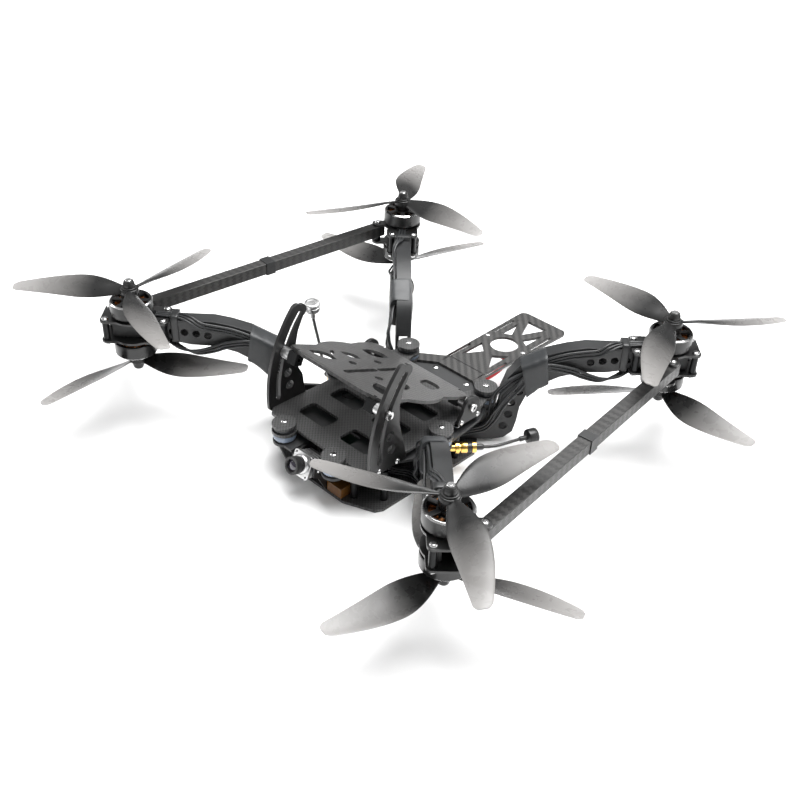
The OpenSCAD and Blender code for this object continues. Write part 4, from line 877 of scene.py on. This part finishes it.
camera.piece("fpv_housing", "fpv_unit", "fpv_camera", slot="silver")
lens = Build()
lens.lathe([(4.9, 11.9), (5.6, 12.0), (6.5, 12.0), (6.8, 11.7), (6.8, 9.4), (6.5, 9.2), (6.5, 8.6),
            (6.8, 8.4), (6.8, 6.2), (6.5, 6.0), (6.5, 5.4), (5.0, 5.4), (4.95, 2.0), (4.6, 1.0), (4.4, 10.2)],
           "black", FRONT, 56, closed=True)
lens.lathe([(0.01, 11.3), (1.5, 11.2), (2.8, 10.9), (3.8, 10.4), (4.45, 9.9), (4.45, 9.0), (0.01, 9.0)],
           "glass", FRONT, 40)
lens.piece("fpv_lens_barrel", "fpv_unit", "fpv_lens", slot="lens")
side_screws = Build()
for s in (1, -1):
    at = aim(FPV_AT @ Vector((s * 12.4 * MM, 0, 0)), (s, 0, 0))
    button_screw(side_screws, at, 1.8, 1.1, 0.7)
    side_screws.lathe([(0.01, 0.1), (0.85, 0.1), (0.85, -4.2), (0.01, -4.2)], "steel", at, 14)
side_screws.piece("fpv_side_screws", "fpv_unit", "fpv_screws", slot="steel")

# ---------- Antennas ----------
SOCKETS = [(Vector((54, -13, 22)), 50), (Vector((-53, -11, 22)), 180)]
COAX = [[(75, 12, 22), (79, 18, 22), (82, 26, 22), (84.5, 34, 22), (88, 44, 22)],
        [(-76.5, -11, 23.5), (-79.5, -12.5, 28), (-80, -16.5, 37), (-75, -24.5, 60), (-71, -33.5, 87),
         (-70, -35.5, 97)]]
aerials = Build()
for i, (place, turn) in enumerate(SOCKETS):
    a = math.radians(turn)
    out = Vector((math.cos(a), math.sin(a), 0))
    at = aim(place * MM, out)
    front_ring = [(2.2, 24.4), (3.9, 24.2), (4.3, 23.8), (4.3, 21.0), (4.0, 20.8), (2.2, 20.8)]
    gap_ring = [(2.2, 20.8), (3.7, 20.8), (3.7, 17.2), (2.2, 17.2)]
    back_ring = [(3.2, 17.2), (4.1, 17.2), (4.3, 17.0), (4.3, 12.6), (4.1, 12.3), (3.2, 12.3)]
    for ring, colour in ((front_ring, "gold"), (gap_ring, "black"), (back_ring, "gold")):
        aerials.lathe(ring, colour, at, 36, closed=True)
    aerials.lathe([(0.01, 30), (1.6, 30), (2.1, 29.4), (2.4, 28.5), (2.4, 24.0), (0.01, 24.0)], "black",
                  at, 28)
    start = place * MM + out * 27 * MM
    path = spline([start] + [Vector(p) * MM for p in COAX[i]], 8)
    colour = "black" if i == 0 else "stalk"
    aerials.sweep(path, 1.25 * MM, colour, 12)
    end = path[-1]
    head = aim(end, path[-1] - path[-5])
    aerials.lathe(rounded(2.0, 7.2, -7, 0.6), "black" if i == 0 else "silver", head, 28)
    if i == 0:
        aerials.lathe([(0.01, 8), (5.0, 8), (5.7, 7.7), (6.0, 7), (6.0, 5.6), (5.8, 5.4), (5.8, 5.1),
                       (6.0, 4.9), (6.0, 1.0), (5.7, 0.3), (5.0, 0), (0.01, 0)], "black", head, 48)
    else:
        aerials.lathe([(0.01, 7.4), (4.0, 7.4), (4.3, 8), (5.2, 8), (5.8, 7.6), (6.0, 7), (6.0, 5.2),
                       (5.7, 5.0), (5.7, 4.6), (6.0, 4.4), (6.0, 1.2), (5.6, 0.4), (4.6, 0), (0.01, 0)],
                      "silver", head, 48)
keep("antenna_sockets", "gold", 0.2)
aerials.piece("antennas_with_coax", ROOT, "antennas", slot="antenna")

# ---------- Battery lead ----------
RED = [(3, -25.8, 7.3), (3.2, 0, 7.3), (3.4, 40, 9), (4, 60, 12.5), (8, 80, 17), (12, 98, 22), (9, 110, 26),
       (1, 111.5, 27.3), (-8, 105, 26.5), (-13, 92, 25), (-13.5, 78, 24.8)]
BLACK = [(-3, -25.8, 7.3), (-2.8, 0, 7.3), (-2.6, 40, 9), (-3, 60, 9.5), (0, 78, 13), (2, 90, 17),
         (-1, 97, 20), (-6, 92, 22.5), (-6.5, 78, 24.8)]
lead = Build()
for line, colour in ((RED, "red"), (BLACK, "wire")):
    lead.sweep(spline([Vector(p) * MM for p in line], 6), 2.1 * MM, colour, 14)
plug_at = Vector((-10, 70.5, 24.8)) * MM
plug_turn = Matrix.Rotation(math.pi / 2, 4, "X") @ Matrix.Diagonal((1, 9 / 16, 1, 1))
cut_plate(lead, [round_square(8, 2.2)], "plug", -8.5, 8.5, 0.4, Matrix.Translation(plug_at) @ plug_turn)
lead.piece("battery_lead_and_plug", ROOT, "battery_lead", slot="lead", sharp=50)

# ---------- Braces ----------
lug_f = ARMS["front_left"].pod + ARMS["front_left"].inward * 1 * MM - ARMS["front_left"].side * 22 * MM
lug_r = ARMS["rear_left"].pod + ARMS["rear_left"].inward * 1 * MM + ARMS["rear_left"].side * 22 * MM
run = (lug_r - lug_f).normalized()
cross = Vector((run.y, -run.x, 1.0))
MAT["brace"] = twill("brace_twill", (run + cross).normalized(), (run - cross).normalized(), 1.9 * MM,
                     grey(0.009), grey(0.034, -0.03), (0.36, 0.5), 0.1)
keep("arm_braces", "brace", 0.5)

# ---------- Floor, light and camera ----------
def studio():
    s = Shader("studio_white", Roughness=0.6)
    spot = s.place()
    tone = s.noise(0.4, 2.0, spot)
    s.set("Base Color", s.blend(tone, grey(0.86), grey(0.90)))
    size, wall = 6.0, 5.0
    mesh = bpy.data.meshes.new("floor")
    rows, points = 12, []
    turns = [math.pi / 2 * i / rows for i in range(1, rows + 1)]
    bend = [(wall + math.sin(a), 1 - math.cos(a)) for a in turns]
    profile = [(-size, 0), (wall, 0)] + bend + [(wall + 1, 6)]
    for y, z in profile:
        points += [(-size, y, z), (size, y, z)]
    faces = [(2 * i, 2 * i + 1, 2 * i + 3, 2 * i + 2) for i in range(len(profile) - 1)]
    mesh.from_pydata(points, [], faces)
    mesh.materials.append(s.material)
    mesh.polygons.foreach_set("use_smooth", [True] * len(mesh.polygons))
    floor = bpy.data.objects.new("floor", mesh)
    floor.location.z = CAD_LOW.z
    bpy.context.scene.collection.objects.link(floor)
    floor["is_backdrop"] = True


def area_light(name, place, target, size, watts):
    light = bpy.data.lights.new(name, "AREA")
    light.shape, light.size, light.energy = "SQUARE", size, watts
    o = bpy.data.objects.new(name, light)
    o.matrix_world = aim(place, Vector(place) - Vector(target))
    bpy.context.scene.collection.objects.link(o)


studio()
area_light("overhead", (0.1, 0.35, 1.5), (0, 0, 0), 1.3, 62)
area_light("left_fill", (-1.5, -0.6, 0.9), (0, 0, 0.05), 0.8, 8)
area_light("right_fill", (1.6, 0.6, 0.8), (0, 0, 0.05), 0.8, 6)
world = bpy.data.worlds.new("white_room")
world.use_nodes = True
world.node_tree.nodes["Background"].inputs[0].default_value = (1, 1, 1, 1)
world.node_tree.nodes["Background"].inputs[1].default_value = 0.42
bpy.context.scene.world = world
bpy.context.scene.view_settings.view_transform = "Standard"

lens_data = bpy.data.cameras.new("camera")
lens_data.lens, lens_data.sensor_width = 48.3, 36
lens_data.clip_start = 0.05
view = bpy.data.objects.new("camera", lens_data)
ahead = Vector((-0.56490985, 0.59567269, -0.57100868))
right = Vector((0.70873531, 0.70465811, 0.03392949))
over = Vector((-0.42257676, 0.38552691, 0.82024257))
view.matrix_world = Matrix.Translation((0.474154, -0.507226, 0.514904)) @ Matrix(
    (right, over, -ahead)).transposed().to_4x4()
bpy.context.scene.collection.objects.link(view)
bpy.context.scene.camera = view

low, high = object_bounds()
